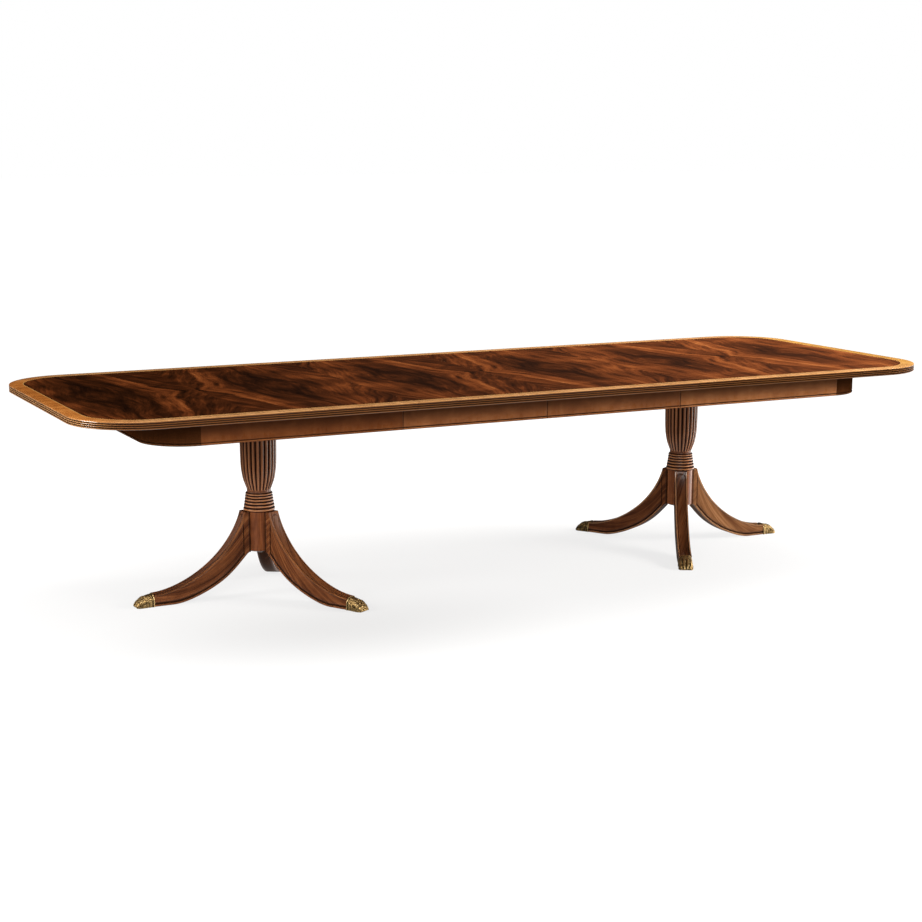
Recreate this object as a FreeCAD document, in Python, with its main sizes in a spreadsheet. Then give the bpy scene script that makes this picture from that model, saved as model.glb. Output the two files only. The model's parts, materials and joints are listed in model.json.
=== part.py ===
import FreeCAD, Part
import os
import math
import Sketcher
from FreeCAD import Vector, Rotation, Placement

# Extending dining table on two pedestals, shown with both leaves in place.
# +X runs along the table, -Y is the front, +Z is up; the origin is on the floor
# under the middle of the top. All sizes in millimetres.

doc = FreeCAD.newDocument("double_pedestal_table")
sheet = doc.addObject("Spreadsheet::Sheet", "Dims")

SIZES = [
    # top
    ("table_length", 3353), ("table_width", 1219), ("table_height", 750),
    ("top_thick", 26), ("corner_rad", 235), ("leaf_width", 559), ("seam_gap", 0.6),
    ("lip_width", 22), ("bead_rad", 3.9),
    # apron
    ("apron_drop", 83), ("apron_thick", 20), ("apron_face", 494),
    ("apron_end", 1433), ("apron_corner", 160), ("block_size", 28), ("block_long", 70),
    # seam pins
    ("pin_rad", 5), ("pin_proud", 14), ("pin_seat", 16), ("pin_room", 0.3),
    ("pin_inner", 150), ("pin_outer", 450),
    # slides
    ("rail_thick", 24), ("rail_deep", 60), ("rail_gap", 0.8), ("rail_outer", 330),
    ("rail_far", 1385), ("rail_near", 200), ("rail_relief", 0.6), ("carriage_half", 600),
    ("tongue_deep", 9), ("tongue_neck", 7), ("tongue_tip", 11), ("tongue_room", 0.6),
    ("tie_from", 60), ("tie_wide", 50), ("tie_thick", 12),
    # pedestal
    ("pedestal_x", 897), ("bearer_wide", 300), ("bearer_long", 400), ("bearer_thick", 40),
    ("tenon_rad", 32), ("tenon_high", 20), ("socket_room", 0.1),
    ("column_rad", 65), ("column_neck", 42.5), ("neck_level", 379),
    ("hub_rad", 50), ("hub_base", 165), ("hub_top", 305),
    ("spigot_rad", 22), ("spigot_deep", 72), ("rod_rad", 6), ("rod_bore", 6.5),
    ("leg_thick", 50), ("leg_end", 402), ("foot_reach", 470), ("paw_wide", 57),
    ("tongue_in", 34), ("tongue_out", 54), ("tongue_half_in", 15), ("tongue_half_out", 10),
    ("tongue_top", 285), ("shoe_long", 24), ("shoe_half", 13), ("shoe_low", 8), ("shoe_high", 30),
    ("plate_rad", 45), ("plate_thick", 3),
    ("washer_rad", 15), ("washer_thick", 2), ("nut_rad", 11), ("nut_high", 8), ("nut_sink", 12),
    # leaf latches
    ("latch_y", 415), ("latch_back", 24), ("latch_plate", 2), ("pivot_rad", 3.95),
    ("lever_thick", 4), ("lever_half", 12), ("lever_long", 60), ("lever_gap", 0.6),
    ("lever_bore", 4.0), ("stud_rad", 4), ("stud_room", 0.7),
    # screws
    ("screw_rad", 2.5), ("screw_head", 5), ("screw_head_high", 3),
]
for row, (alias, size) in enumerate(SIZES, start=1):
    sheet.set("A%d" % row, alias)
    sheet.set("B%d" % row, str(size))
    sheet.setAlias("B%d" % row, alias)
doc.recompute()


class Size:
    """A driving size: its number, and the sheet formula that it comes from."""

    def __init__(self, num, txt):
        self.num, self.txt = float(num), txt

    @staticmethod
    def of(x):
        return x if isinstance(x, Size) else Size(x, "(%.6f)" % x)

    def __add__(self, o):
        o = Size.of(o)
        return Size(self.num + o.num, "(%s + %s)" % (self.txt, o.txt))

    def __sub__(self, o):
        o = Size.of(o)
        return Size(self.num - o.num, "(%s - %s)" % (self.txt, o.txt))

    def __mul__(self, o):
        o = Size.of(o)
        return Size(self.num * o.num, "(%s * %s)" % (self.txt, o.txt))

    def __truediv__(self, o):
        o = Size.of(o)
        return Size(self.num / o.num, "(%s / %s)" % (self.txt, o.txt))

    def __neg__(self):
        return Size(-self.num, "(-1 * %s)" % self.txt)

    __radd__ = __add__
    __rmul__ = __mul__

    def __rsub__(self, o):
        return Size.of(o) - self


class Sizes:
    pass


D = Sizes()
for alias, size in SIZES:
    setattr(D, alias, Size(sheet.get(alias), "Dims." + alias))

PARTS = {}          # node name -> document object
Z_UP = Vector(0, 0, 1)


def bind(obj, prop, size):
    obj.setExpression(prop, Size.of(size).txt)


def at(obj, x, y, z, turn=0.0, axis=Z_UP):
    obj.Placement = Placement(Vector(Size.of(x).num, Size.of(y).num, Size.of(z).num),
                              Rotation(axis, turn))
    for key, val in (("x", x), ("y", y), ("z", z)):
        bind(obj, "Placement.Base." + key, val)
    return obj


def node(name, obj):
    obj.Label = name
    PARTS[name] = obj
    return obj


def box(name, x0, x1, y0, y1, z0, z1):
    b = doc.addObject("Part::Box", name)
    bind(b, "Length", Size.of(x1) - x0)
    bind(b, "Width", Size.of(y1) - y0)
    bind(b, "Height", Size.of(z1) - z0)
    return at(b, x0, y0, z0)


def side_box(side, name, x0, x1, y0, y1, z0, z1):
    """A box given in the right half's frame; the left half is that turned half round."""
    if side > 0:
        return box(name, x0, x1, y0, y1, z0, z1)
    return box(name, -Size.of(x1), -Size.of(x0), -Size.of(y1), -Size.of(y0), z0, z1)


def rod(name, radius, x, y, z0, z1, sweep=None, turn=0.0):
    c = doc.addObject("Part::Cylinder", name)
    bind(c, "Radius", radius)
    bind(c, "Height", Size.of(z1) - z0)
    if sweep is not None:
        c.Angle = sweep
    return at(c, x, y, z0, turn)


def bar(name, radius, x0, x1, y, z):
    """A round bar along +X."""
    c = doc.addObject("Part::Cylinder", name)
    bind(c, "Radius", radius)
    bind(c, "Height", Size.of(x1) - x0)
    return at(c, x0, y, z, 90, Vector(0, 1, 0))


def cut(name, base, tool):
    c = doc.addObject("Part::Cut", name)
    c.Base, c.Tool = base, tool
    return c


def fuse(name, pieces):
    f = doc.addObject("Part::MultiFuse", name)
    f.Shapes = pieces
    return f


def group(name, pieces):
    g = doc.addObject("Part::Compound", name)
    g.Links = pieces
    return g


def new_body(name):
    return doc.addObject("PartDesign::Body", name)


def sketch_on(body, role, name, lift=None):
    sk = body.newObject("Sketcher::SketchObject", name)
    plane = [f for f in body.Origin.OriginFeatures if f.Role == role][0]
    sk.AttachmentSupport = (plane, [""])
    sk.MapMode = "FlatFace"
    if lift is not None:
        sk.AttachmentOffset = Placement(Vector(0, 0, Size.of(lift).num), Rotation())
        bind(sk, "AttachmentOffset.Base.z", lift)
    return sk


def pin_point(sk, geo, pos, x, y):
    """Hold one point of a sketch at sizes from the sheet."""
    for kind, val, line in (("DistanceX", x, -2), ("DistanceY", y, -1)):
        val = Size.of(val)
        if abs(val.num) < 1e-9:
            sk.addConstraint(Sketcher.Constraint("PointOnObject", geo, pos, line))
        else:
            i = sk.addConstraint(Sketcher.Constraint(kind, -1, 1, geo, pos, val.num))
            sk.setExpression("Constraints[%d]" % i, val.txt)


def outline(sk, corners):
    """A closed outline of straight lines through the given corners."""
    nums = [Vector(Size.of(a).num, Size.of(b).num, 0) for a, b in corners]
    first = sk.GeometryCount
    n = len(nums)
    for i in range(n):
        sk.addGeometry(Part.LineSegment(nums[i], nums[(i + 1) % n]), False)
    for i in range(n):
        sk.addConstraint(Sketcher.Constraint("Coincident", first + i, 2, first + (i + 1) % n, 1))
    for i, (a, b) in enumerate(corners):
        pin_point(sk, first + i, 1, a, b)
    return sk


def ring_hole(sk, x, y, radius):
    geo = sk.addGeometry(Part.Circle(Vector(Size.of(x).num, Size.of(y).num, 0), Z_UP,
                                     Size.of(radius).num), False)
    i = sk.addConstraint(Sketcher.Constraint("Radius", geo, Size.of(radius).num))
    bind(sk, "Constraints[%d]" % i, radius)
    pin_point(sk, geo, 3, x, y)


def chain(sk, pieces):
    """A closed outline of given lines, arcs and splines, joined end to end."""
    first = sk.GeometryCount
    for g in pieces:
        sk.addGeometry(g, False)
    n = len(pieces)
    for i in range(n):
        sk.addConstraint(Sketcher.Constraint("Coincident", first + i, 2, first + (i + 1) % n, 1))


def pad(body, sk, name, length, both_ways=False, flip=False):
    p = body.newObject("PartDesign::Pad", name)
    p.Profile = sk
    p.Length = Size.of(length).num
    bind(p, "Length", length)
    if both_ways:
        if hasattr(p, "SideType"):
            p.SideType = "Symmetric"
        else:
            p.Midplane = True
    p.Reversed = flip
    return p


def pocket(body, sk, name, length, flip=False, through=False):
    p = body.newObject("PartDesign::Pocket", name)
    p.Profile = sk
    if through:
        p.Type = "ThroughAll"
        if hasattr(p, "SideType"):
            p.SideType = "Symmetric"
        else:
            p.Midplane = True
    else:
        p.Length = Size.of(length).num
        bind(p, "Length", length)
    p.Reversed = flip
    return p


def takes_away(body, before):
    doc.recompute()
    if not body.Shape.Volume < before - 1.0:
        raise RuntimeError("a cut in %s removed nothing" % body.Name)


# ---------------------------------------------------------------- shared levels
top = D.table_height
under = D.table_height - D.top_thick
apron_low = under - D.apron_drop
seam = D.leaf_width + D.seam_gap / 2
half_long = D.table_length / 2
half_wide = D.table_width / 2
field_x = half_long - D.lip_width
field_y = half_wide - D.lip_width
mid_z = under + D.top_thick / 2
pin_rows = [-D.pin_outer, -D.pin_inner, D.pin_inner, D.pin_outer]
HALF = {1: "right", -1: "left"}


def seam_holes(body, at_x, into, radius, depth, tag):
    """Blind holes for the seam pins in an upright seam face; into is +1 or -1 along X."""
    doc.recompute()
    before = body.Shape.Volume
    sk = sketch_on(body, "YZ_Plane", tag + "_hole_centres", at_x)
    for y in pin_rows:
        ring_hole(sk, y, mid_z, radius)
    pocket(body, sk, tag + "_holes", depth, flip=(into > 0))
    takes_away(body, before)


# ---------------------------------------------------------------- edge moulding
def lip_outline(sk, side, from_field=False):
    """Three reeds under a small square list; side is the sign of the way that they face."""
    edge = Size.of(0) if from_field else field_y
    y0, r = edge.num, D.bead_rad.num
    zt, zu = top.num, under.num
    face = D.lip_width.num

    def p(o, z):
        return Vector(side * (y0 + o), z, 0)

    root = face - r
    items = [Part.LineSegment(p(0, zu), p(root, zu))]
    z = zu
    for _ in range(3):
        items.append(Part.Arc(p(root, z), p(face, z + r), p(root, z + 2 * r)))
        z += 2 * r
    items.append(Part.LineSegment(p(root, z), p(face - 1.8, z)))
    items.append(Part.LineSegment(p(face - 1.8, z), p(face - 0.6, z + (zt - z) / 2)))
    items.append(Part.LineSegment(p(face - 0.6, z + (zt - z) / 2), p(face - 1.8, zt)))
    items.append(Part.LineSegment(p(face - 1.8, zt), p(0, zt)))
    items.append(Part.LineSegment(p(0, zt), p(0, zu)))
    first = sk.GeometryCount
    for g in items:
        sk.addGeometry(g, False)
    pin_point(sk, first + len(items) - 1, 1, edge * side, top)
    pin_point(sk, first, 1, edge * side, under)
    return sk


def lip_section(name, x, y, facing):
    """The moulding's section standing at a point of the field's outline, facing outwards."""
    sk = doc.addObject("Sketcher::SketchObject", name)
    lip_outline(sk, 1, from_field=True)
    sk.Placement = Placement(Vector(Size.of(x).num, Size.of(y).num, 0),
                             Rotation(Z_UP, facing).multiply(Rotation(Vector(1, 0, 0), 90)))
    bind(sk, "Placement.Base.x", x)
    bind(sk, "Placement.Base.y", y)
    return sk


def lip_run(name, section, facing, length):
    run = doc.addObject("Part::Extrusion", name)
    run.Base = section
    run.DirMode = "Custom"
    way = math.radians(facing + 90)
    run.Dir = Vector(math.cos(way), math.sin(way), 0)
    run.Solid = True
    bind(run, "LengthFwd", length)
    return run


def lip_turn(name, section, x, y):
    turn = doc.addObject("Part::Revolution", name)
    turn.Source = section
    turn.Axis = Z_UP
    turn.Base = Vector(Size.of(x).num, Size.of(y).num, 0)
    bind(turn, "Base.x", x)
    bind(turn, "Base.y", y)
    turn.Angle = 90
    turn.Solid = True
    return turn


def half_edge(side):
    """Front run, corner, end run, corner and back run of one continuous moulding."""
    tag = HALF[side]
    rad = D.corner_rad - D.lip_width
    cx, cy = field_x - rad, field_y - rad
    base = 0 if side > 0 else 180

    def here(x, y):
        return Size.of(x) * side, Size.of(y) * side

    s1 = lip_section(tag + "_lip_section_1", *here(seam, -field_y), -90 + base)
    s2 = lip_section(tag + "_lip_section_2", *here(cx, -field_y), -90 + base)
    s3 = lip_section(tag + "_lip_section_3", *here(field_x, -cy), base)
    s4 = lip_section(tag + "_lip_section_4", *here(field_x, cy), base)
    s5 = lip_section(tag + "_lip_section_5", *here(cx, field_y), 90 + base)
    lip = fuse(tag + "_lip", [
        lip_run(tag + "_lip_run_1", s1, -90 + base, cx - seam),
        lip_turn(tag + "_lip_turn_1", s2, *here(cx, -cy)),
        lip_run(tag + "_lip_run_2", s3, base, cy * 2),
        lip_turn(tag + "_lip_turn_2", s4, *here(cx, cy)),
        lip_run(tag + "_lip_run_3", s5, 90 + base, cx - seam)])
    lip.Refine = True
    return node(tag + "_top_edge", lip)


# ---------------------------------------------------------------- half tops
def half_panel(side):
    tag = HALF[side]
    b = new_body(tag + "_panel_body")
    sk = sketch_on(b, "XY_Plane", tag + "_panel_outline", under)
    outline(sk, [(seam, -field_y), (field_x, -field_y), (field_x, field_y), (seam, field_y)])
    pd = pad(b, sk, tag + "_panel_board", D.top_thick)
    doc.recompute()
    edges = []
    for i, e in enumerate(pd.Shape.Edges, start=1):
        c = e.CenterOfMass
        if abs(c.x - field_x.num) < 0.01 and abs(abs(c.y) - field_y.num) < 0.01:
            edges.append("Edge%d" % i)
    fl = b.newObject("PartDesign::Fillet", tag + "_panel_corners")
    fl.Base = (pd, edges)
    fl.Radius = D.corner_rad.num - D.lip_width.num
    bind(fl, "Radius", D.corner_rad - D.lip_width)
    if side > 0:
        seam_holes(b, seam, 1, D.pin_rad, D.pin_seat, tag)
    else:
        seam_holes(b, seam, 1, D.pin_rad + D.pin_room, D.pin_proud + 1, tag)
    b.Placement = Placement(Vector(), Rotation(Z_UP, 0 if side > 0 else 180))
    return node(tag + "_top_panel", b)


# ---------------------------------------------------------------- half aprons
def half_apron(side):
    tag = HALF[side]
    straight = D.apron_end - D.apron_corner
    out, inn = D.apron_face, D.apron_face - D.apron_thick
    # the frame is turned half round on the left, so front and back change places
    low_y, high_y = ("front", "back") if side > 0 else ("back", "front")
    node(tag + "_apron_" + low_y, side_box(side, tag + "_rail_low", seam, straight, -out, -inn, apron_low, under))
    node(tag + "_apron_" + high_y, side_box(side, tag + "_rail_high", seam, straight, inn, out, apron_low, under))
    turn_y = out - D.apron_corner
    node(tag + "_apron_end", side_box(side, tag + "_rail_end", D.apron_end - D.apron_thick, D.apron_end,
                                      -turn_y, turn_y, apron_low, under))
    corners = []
    for k, sy in (("a", -1), ("b", 1)):
        start = (-90 if sy < 0 else 0) + (0 if side > 0 else 180)
        o = rod("%s_corner_%s_out" % (tag, k), D.apron_corner, straight * side, turn_y * (sy * side),
                apron_low, under, 90, start)
        i = rod("%s_corner_%s_in" % (tag, k), D.apron_corner - D.apron_thick, straight * side,
                turn_y * (sy * side), apron_low - 1, under + 1)
        corners.append(cut("%s_corner_%s" % (tag, k), o, i))
    node(tag + "_apron_corners", group(tag + "_corner_pair", corners))
    blocks = []
    bs, bl = D.block_size, D.block_long
    for k, x in enumerate((seam + 60, straight - 130)):
        for sy in (-1, 1):
            y0, y1 = (inn - bs, inn) if sy > 0 else (-inn, bs - inn)
            blocks.append(side_box(side, "%s_block_%d_%d" % (tag, k, sy + 1), x, x + bl, y0, y1, under - bs, under))
    for k, y in enumerate((-220, 150)):
        blocks.append(side_box(side, "%s_block_end_%d" % (tag, k), D.apron_end - D.apron_thick - bs,
                               D.apron_end - D.apron_thick, y, y + bl, under - bs, under))
    node(tag + "_glue_blocks", group(tag + "_block_set", blocks))


# ---------------------------------------------------------------- slides
rail_low = under - D.rail_deep
rail_mid = under - D.rail_deep / 2
slope = (D.tongue_tip - D.tongue_neck) / D.tongue_deep
out_face = D.rail_outer - D.rail_thick              # inner face of the outer rails
mid_out = out_face - D.rail_gap
mid_in = mid_out - D.rail_thick
in_face = mid_in - D.rail_gap                       # outer face of the inner rails


def groove_pts(face_y, way, back_y):
    """Section of a fixed rail with a dovetail groove in the face at face_y; way points into the rail."""
    g0 = D.tongue_neck + D.tongue_room + slope * D.rail_gap
    g1 = D.tongue_neck + D.tongue_room + slope * (D.tongue_deep + D.tongue_room)
    floor = face_y + (D.tongue_deep + D.tongue_room - D.rail_gap) * way
    return [(back_y, rail_low), (face_y, rail_low), (face_y, rail_mid - g0), (floor, rail_mid - g1),
            (floor, rail_mid + g1), (face_y, rail_mid + g0), (face_y, under), (back_y, under)]


def mirror_y(pts):
    return [(-Size.of(a), b) for a, b in pts]


def half_rails(side):
    """The left half carries the outer pair of rails, the right half the inner pair."""
    tag = HALF[side]
    if side < 0:
        sec = groove_pts(out_face, 1, D.rail_outer)
    else:
        sec = groove_pts(in_face, -1, in_face - D.rail_thick)
    pieces = []
    for k, pts in (("back", sec), ("front", mirror_y(sec))):
        b = new_body("%s_slide_%s_body" % (tag, k))
        sk = sketch_on(b, "YZ_Plane", "%s_slide_%s_section" % (tag, k), D.rail_near if side > 0 else -D.rail_near)
        outline(sk, pts)
        pad(b, sk, "%s_slide_%s_length" % (tag, k), D.rail_far - D.rail_near, flip=(side < 0))
        ya = Size.of(-400)
        relief = side_box(side, "%s_slide_%s_relief" % (tag, k), D.rail_near - 5, seam, ya, 400,
                          under - D.rail_relief, under + 5)
        pieces.append(cut("%s_slide_%s" % (tag, k), b, relief))
    return node(tag + "_slide_rails", group(tag + "_slide_pair", pieces))


def carriage():
    """Centre rails with a dovetail tongue on both faces, tied by two battens; it floats between the halves."""
    lift = D.rail_relief
    sec = [(mid_in, rail_low), (mid_out, rail_low),
           (mid_out, rail_mid - D.tongue_neck), (mid_out + D.tongue_deep, rail_mid - D.tongue_tip),
           (mid_out + D.tongue_deep, rail_mid + D.tongue_tip), (mid_out, rail_mid + D.tongue_neck),
           (mid_out, under - lift), (mid_in, under - lift),
           (mid_in, rail_mid + D.tongue_neck), (mid_in - D.tongue_deep, rail_mid + D.tongue_tip),
           (mid_in - D.tongue_deep, rail_mid - D.tongue_tip), (mid_in, rail_mid - D.tongue_neck)]
    pieces = []
    for k, pts in (("back", sec), ("front", mirror_y(sec))):
        b = new_body("centre_slide_%s_body" % k)
        sk = sketch_on(b, "YZ_Plane", "centre_slide_%s_section" % k, -D.carriage_half)
        outline(sk, pts)
        pad(b, sk, "centre_slide_%s_length" % k, D.carriage_half * 2)
        pieces.append(b)
    node("centre_slide_rails", group("centre_slide_pair", pieces))
    ties = [box("centre_tie_a", -D.tie_from - D.tie_wide, -D.tie_from, -mid_out, mid_out, rail_low - D.tie_thick, rail_low),
            box("centre_tie_b", D.tie_from, D.tie_from + D.tie_wide, -mid_out, mid_out, rail_low - D.tie_thick, rail_low)]
    node("centre_slide_battens", group("centre_tie_pair", ties))


# ---------------------------------------------------------------- leaves
def leaf(tag, x0, x1):
    b = new_body(tag + "_panel_body")
    sk = sketch_on(b, "XY_Plane", tag + "_panel_outline", under)
    outline(sk, [(x0, -field_y), (x1, -field_y), (x1, field_y), (x0, field_y)])
    pad(b, sk, tag + "_panel_board", D.top_thick)
    seam_holes(b, x0, 1, D.pin_rad, D.pin_seat, tag + "_seat")
    seam_holes(b, x1, -1, D.pin_rad + D.pin_room, D.pin_proud + 1, tag + "_far")
    node(tag + "_panel", b)
    edges = []
    for k, sy in (("front", -1), ("back", 1)):
        e = new_body("%s_edge_%s_body" % (tag, k))
        lip_outline(sketch_on(e, "YZ_Plane", "%s_edge_%s_section" % (tag, k), x0), sy)
        doc.recompute()
        pad(e, e.Group[0], "%s_edge_%s_length" % (tag, k), Size.of(x1) - x0)
        edges.append(e)
    node(tag + "_edges", group(tag + "_edge_pair", edges))
    out, inn = D.apron_face, D.apron_face - D.apron_thick
    node(tag + "_aprons", group(tag + "_apron_pair", [
        box(tag + "_apron_front", x0, x1, -out, -inn, apron_low, under),
        box(tag + "_apron_back", x0, x1, inn, out, apron_low, under)]))
    bs, bl = D.block_size, D.block_long
    mid = (Size.of(x0) + x1) / 2 - bl / 2
    node(tag + "_glue_blocks", group(tag + "_block_set", [
        box(tag + "_block_front", mid, mid + bl, -inn, bs - inn, under - bs, under),
        box(tag + "_block_back", mid, mid + bl, inn - bs, inn, under - bs, under)]))


def seam_pins(name, x_face):
    """Dowel pins seated in the piece to the right of a seam, proud to the left."""
    rods = [bar("%s_%d" % (name, i), D.pin_rad, Size.of(x_face) - D.pin_proud, Size.of(x_face) + D.pin_seat, y, mid_z)
            for i, y in enumerate(pin_rows)]
    node(name, group(name + "_set", rods))


# ---------------------------------------------------------------- leaf latches
lever_top = under - D.latch_plate - D.lever_gap
lever_low = lever_top - D.lever_thick
head_top = lever_low - D.lever_gap
head_low = head_top - 2.2


def latch_screws(name, cx, cy, spots):
    rods = []
    for i, (dx, dy) in enumerate(spots):
        x, y = Size.of(cx) + dx, Size.of(cy) + dy
        head = rod("%s_head_%d" % (name, i), 3.4, x, y, under - D.latch_plate, under)
        shank = rod("%s_shank_%d" % (name, i), 1.8, x, y, under, under + 14)
        rods.append(fuse("%s_%d" % (name, i), [head, shank]))
    return rods


def latch_base(name, px, py, sx):
    """Plate with its riveted pivot; the plate reaches from behind the pivot towards the seam."""
    spots = [(-16 * sx, -12), (-16 * sx, 12)]
    x0, x1 = (px - 22, px + 14) if sx > 0 else (px - 14, px + 22)
    plate = box(name + "_plate", x0, x1, py - 17, py + 17, under - D.latch_plate, under)
    holes = [rod("%s_bore_%d" % (name, i), 3.5, px + dx, py + dy, under - D.latch_plate - 1, under + 1)
             for i, (dx, dy) in enumerate(spots)]
    plate = cut(name + "_drilled", plate, fuse(name + "_bores", holes))
    pin = rod(name + "_pin", D.pivot_rad, px, py, head_low, under - D.latch_plate)
    head = rod(name + "_rivet", 7, px, py, head_low, head_top)
    return [fuse(name + "_base", [plate, pin, head])] + latch_screws(name + "_screw", px, py, spots)


def latch_keeper(name, kx, ky, sx):
    spots = [(12 * sx, -11), (12 * sx, 11)]
    x0, x1 = (kx - 10, kx + 20) if sx > 0 else (kx - 20, kx + 10)
    plate = box(name + "_plate", x0, x1, ky - 17, ky + 17, under - D.latch_plate, under)
    holes = [rod("%s_bore_%d" % (name, i), 3.5, kx + dx, ky + dy, under - D.latch_plate - 1, under + 1)
             for i, (dx, dy) in enumerate(spots)]
    plate = cut(name + "_drilled", plate, fuse(name + "_bores", holes))
    stud = rod(name + "_stud", D.stud_rad, kx, ky, head_low, under - D.latch_plate)
    head = rod(name + "_cap", 6, kx, ky, head_low, head_top)
    return [fuse(name + "_base", [plate, stud, head])] + latch_screws(name + "_screw", kx, ky, spots)


def latch_lever(name, px, py, sx, sy):
    """Swivel lever at rest across the table; it turns a quarter to hook the stud past the seam."""
    s = sx * sy
    reach = D.latch_back * 2
    flat = fuse(name + "_blank", [
        rod(name + "_eye", D.lever_half, 0, 0, lever_low, lever_top),
        box(name + "_arm", 0, D.lever_long, -D.lever_half, D.lever_half, lever_low, lever_top),
        box(name + "_tab", D.lever_long - 1, D.lever_long + 11, -7, 7, lever_low, lever_top)])
    outer = rod(name + "_slot_out", reach + D.stud_rad + D.stud_room, 0, 0, lever_low - 1, lever_top + 1,
                40, -6 if s > 0 else -34)
    inner = rod(name + "_slot_in", reach - D.stud_rad - D.stud_room, 0, 0, lever_low - 2, lever_top + 2)
    slot = cut(name + "_slot", outer, inner)
    bore = rod(name + "_bore", D.lever_bore, 0, 0, lever_low - 1, lever_top + 1)
    c = cut(name + "_lever", flat, fuse(name + "_cutters", [slot, bore]))
    c.Placement = Placement(Vector(Size.of(px).num, Size.of(py).num, 0), Rotation(Z_UP, -90 * sy))
    bind(c, "Placement.Base.x", px)
    bind(c, "Placement.Base.y", py)
    return node(name, c)


# ---------------------------------------------------------------- pedestals
COLLAR = [  # top of each turned ring, its greatest radius, how deep its quirk is
    (318, 56.3, 3.2), (330, 54.3, 3.2), (341, 52.4, 3.0), (352, 50.8, 3.0), (362, 49.4, 2.8), (371, 48.2, 2.8)]
VASE = [  # level, share of the swell from neck to full radius
    (379, 0.0), (384, 0.03), (390, 0.15), (400, 0.31), (411, 0.50), (422, 0.63), (434, 0.74),
    (455, 0.88), (478, 0.95), (510, 0.985), (545, 1.0), (600, 1.0)]
LEG_UP = [  # distance from the pedestal's axis, level: upper outline of a leg
    (66, 305), (69.8, 292.4), (77.3, 272.4), (87.3, 250.7), (98.6, 230.3), (112.6, 208.7), (130.1, 185.6), (147.5, 165.9), (162.9, 150.4),
    (185.2, 130.9), (206.8, 114.4), (229.7, 99.1), (254.8, 84.7), (282.2, 71.3), (311.2, 59.6), (341, 50.4), (370.8, 44.1), (402, 41)]
LEG_LOW = [(332, 0), (317.8, 0.8), (299.9, 3.4), (283.1, 7.2), (266.2, 12), (248.1, 18.1), (225.9, 26.7), (204.8, 36), (181.8, 47.4),
           (160.3, 59.8), (140.1, 73.3), (121.1, 88.2), (104.8, 102.8), (89.8, 117.8), (72.3, 136.5), (56, 154)]


def column(side):
    tag = HALF[side]
    b = new_body(tag + "_column_body")
    sk = sketch_on(b, "XZ_Plane", tag + "_column_outline")
    shoulder = under.num - D.bearer_thick.num
    low = D.hub_top.num - D.spigot_deep.num
    srad = D.spigot_rad.num - D.socket_room.num
    trad = D.tenon_rad.num - D.socket_room.num
    bore = D.rod_bore.num
    neck, full = D.column_neck.num, D.column_rad.num

    def v(r, z):
        return Vector(r, z, 0)

    items = [Part.LineSegment(v(bore, low), v(srad, low)),
             Part.LineSegment(v(srad, low), v(srad, D.hub_top.num))]
    z0 = D.hub_top.num
    first_r = COLLAR[0][1] - COLLAR[0][2]
    items.append(Part.LineSegment(v(srad, z0), v(first_r, z0)))
    r_prev = first_r
    for i, (z1, rad, quirk) in enumerate(COLLAR):
        r_end = min(rad, COLLAR[i + 1][1]) - quirk if i + 1 < len(COLLAR) else rad - quirk
        items.append(Part.Arc(v(r_prev, z0), v(rad, (z0 + z1) / 2), v(r_end, z1)))
        r_prev, z0 = r_end, z1
    items.append(Part.LineSegment(v(r_prev, z0), v(neck, D.neck_level.num)))
    spline = Part.BSplineCurve()
    spline.interpolate([v(neck + (full - neck) * share, z) for z, share in VASE])
    items.append(spline)
    items.append(Part.LineSegment(v(full, VASE[-1][0]), v(full, shoulder)))
    items.append(Part.LineSegment(v(full, shoulder), v(trad, shoulder)))
    items.append(Part.LineSegment(v(trad, shoulder), v(trad, shoulder + D.tenon_high.num - 0.2)))
    items.append(Part.LineSegment(v(trad, shoulder + D.tenon_high.num - 0.2), v(bore, shoulder + D.tenon_high.num - 0.2)))
    items.append(Part.LineSegment(v(bore, shoulder + D.tenon_high.num - 0.2), v(bore, low)))
    chain(sk, items)
    # the bore's wall is the last line of the outline: it fixes the foot of the spigot
    pin_point(sk, len(items) - 1, 2, D.rod_bore, D.hub_top - D.spigot_deep)
    rev = b.newObject("PartDesign::Revolution", tag + "_column_turning")
    rev.Profile = sk
    rev.ReferenceAxis = (sk, ["V_Axis"])
    rev.Angle = 360
    at(b, D.pedestal_x * side, 0, 0)
    return node(tag + "_column", b)


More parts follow.
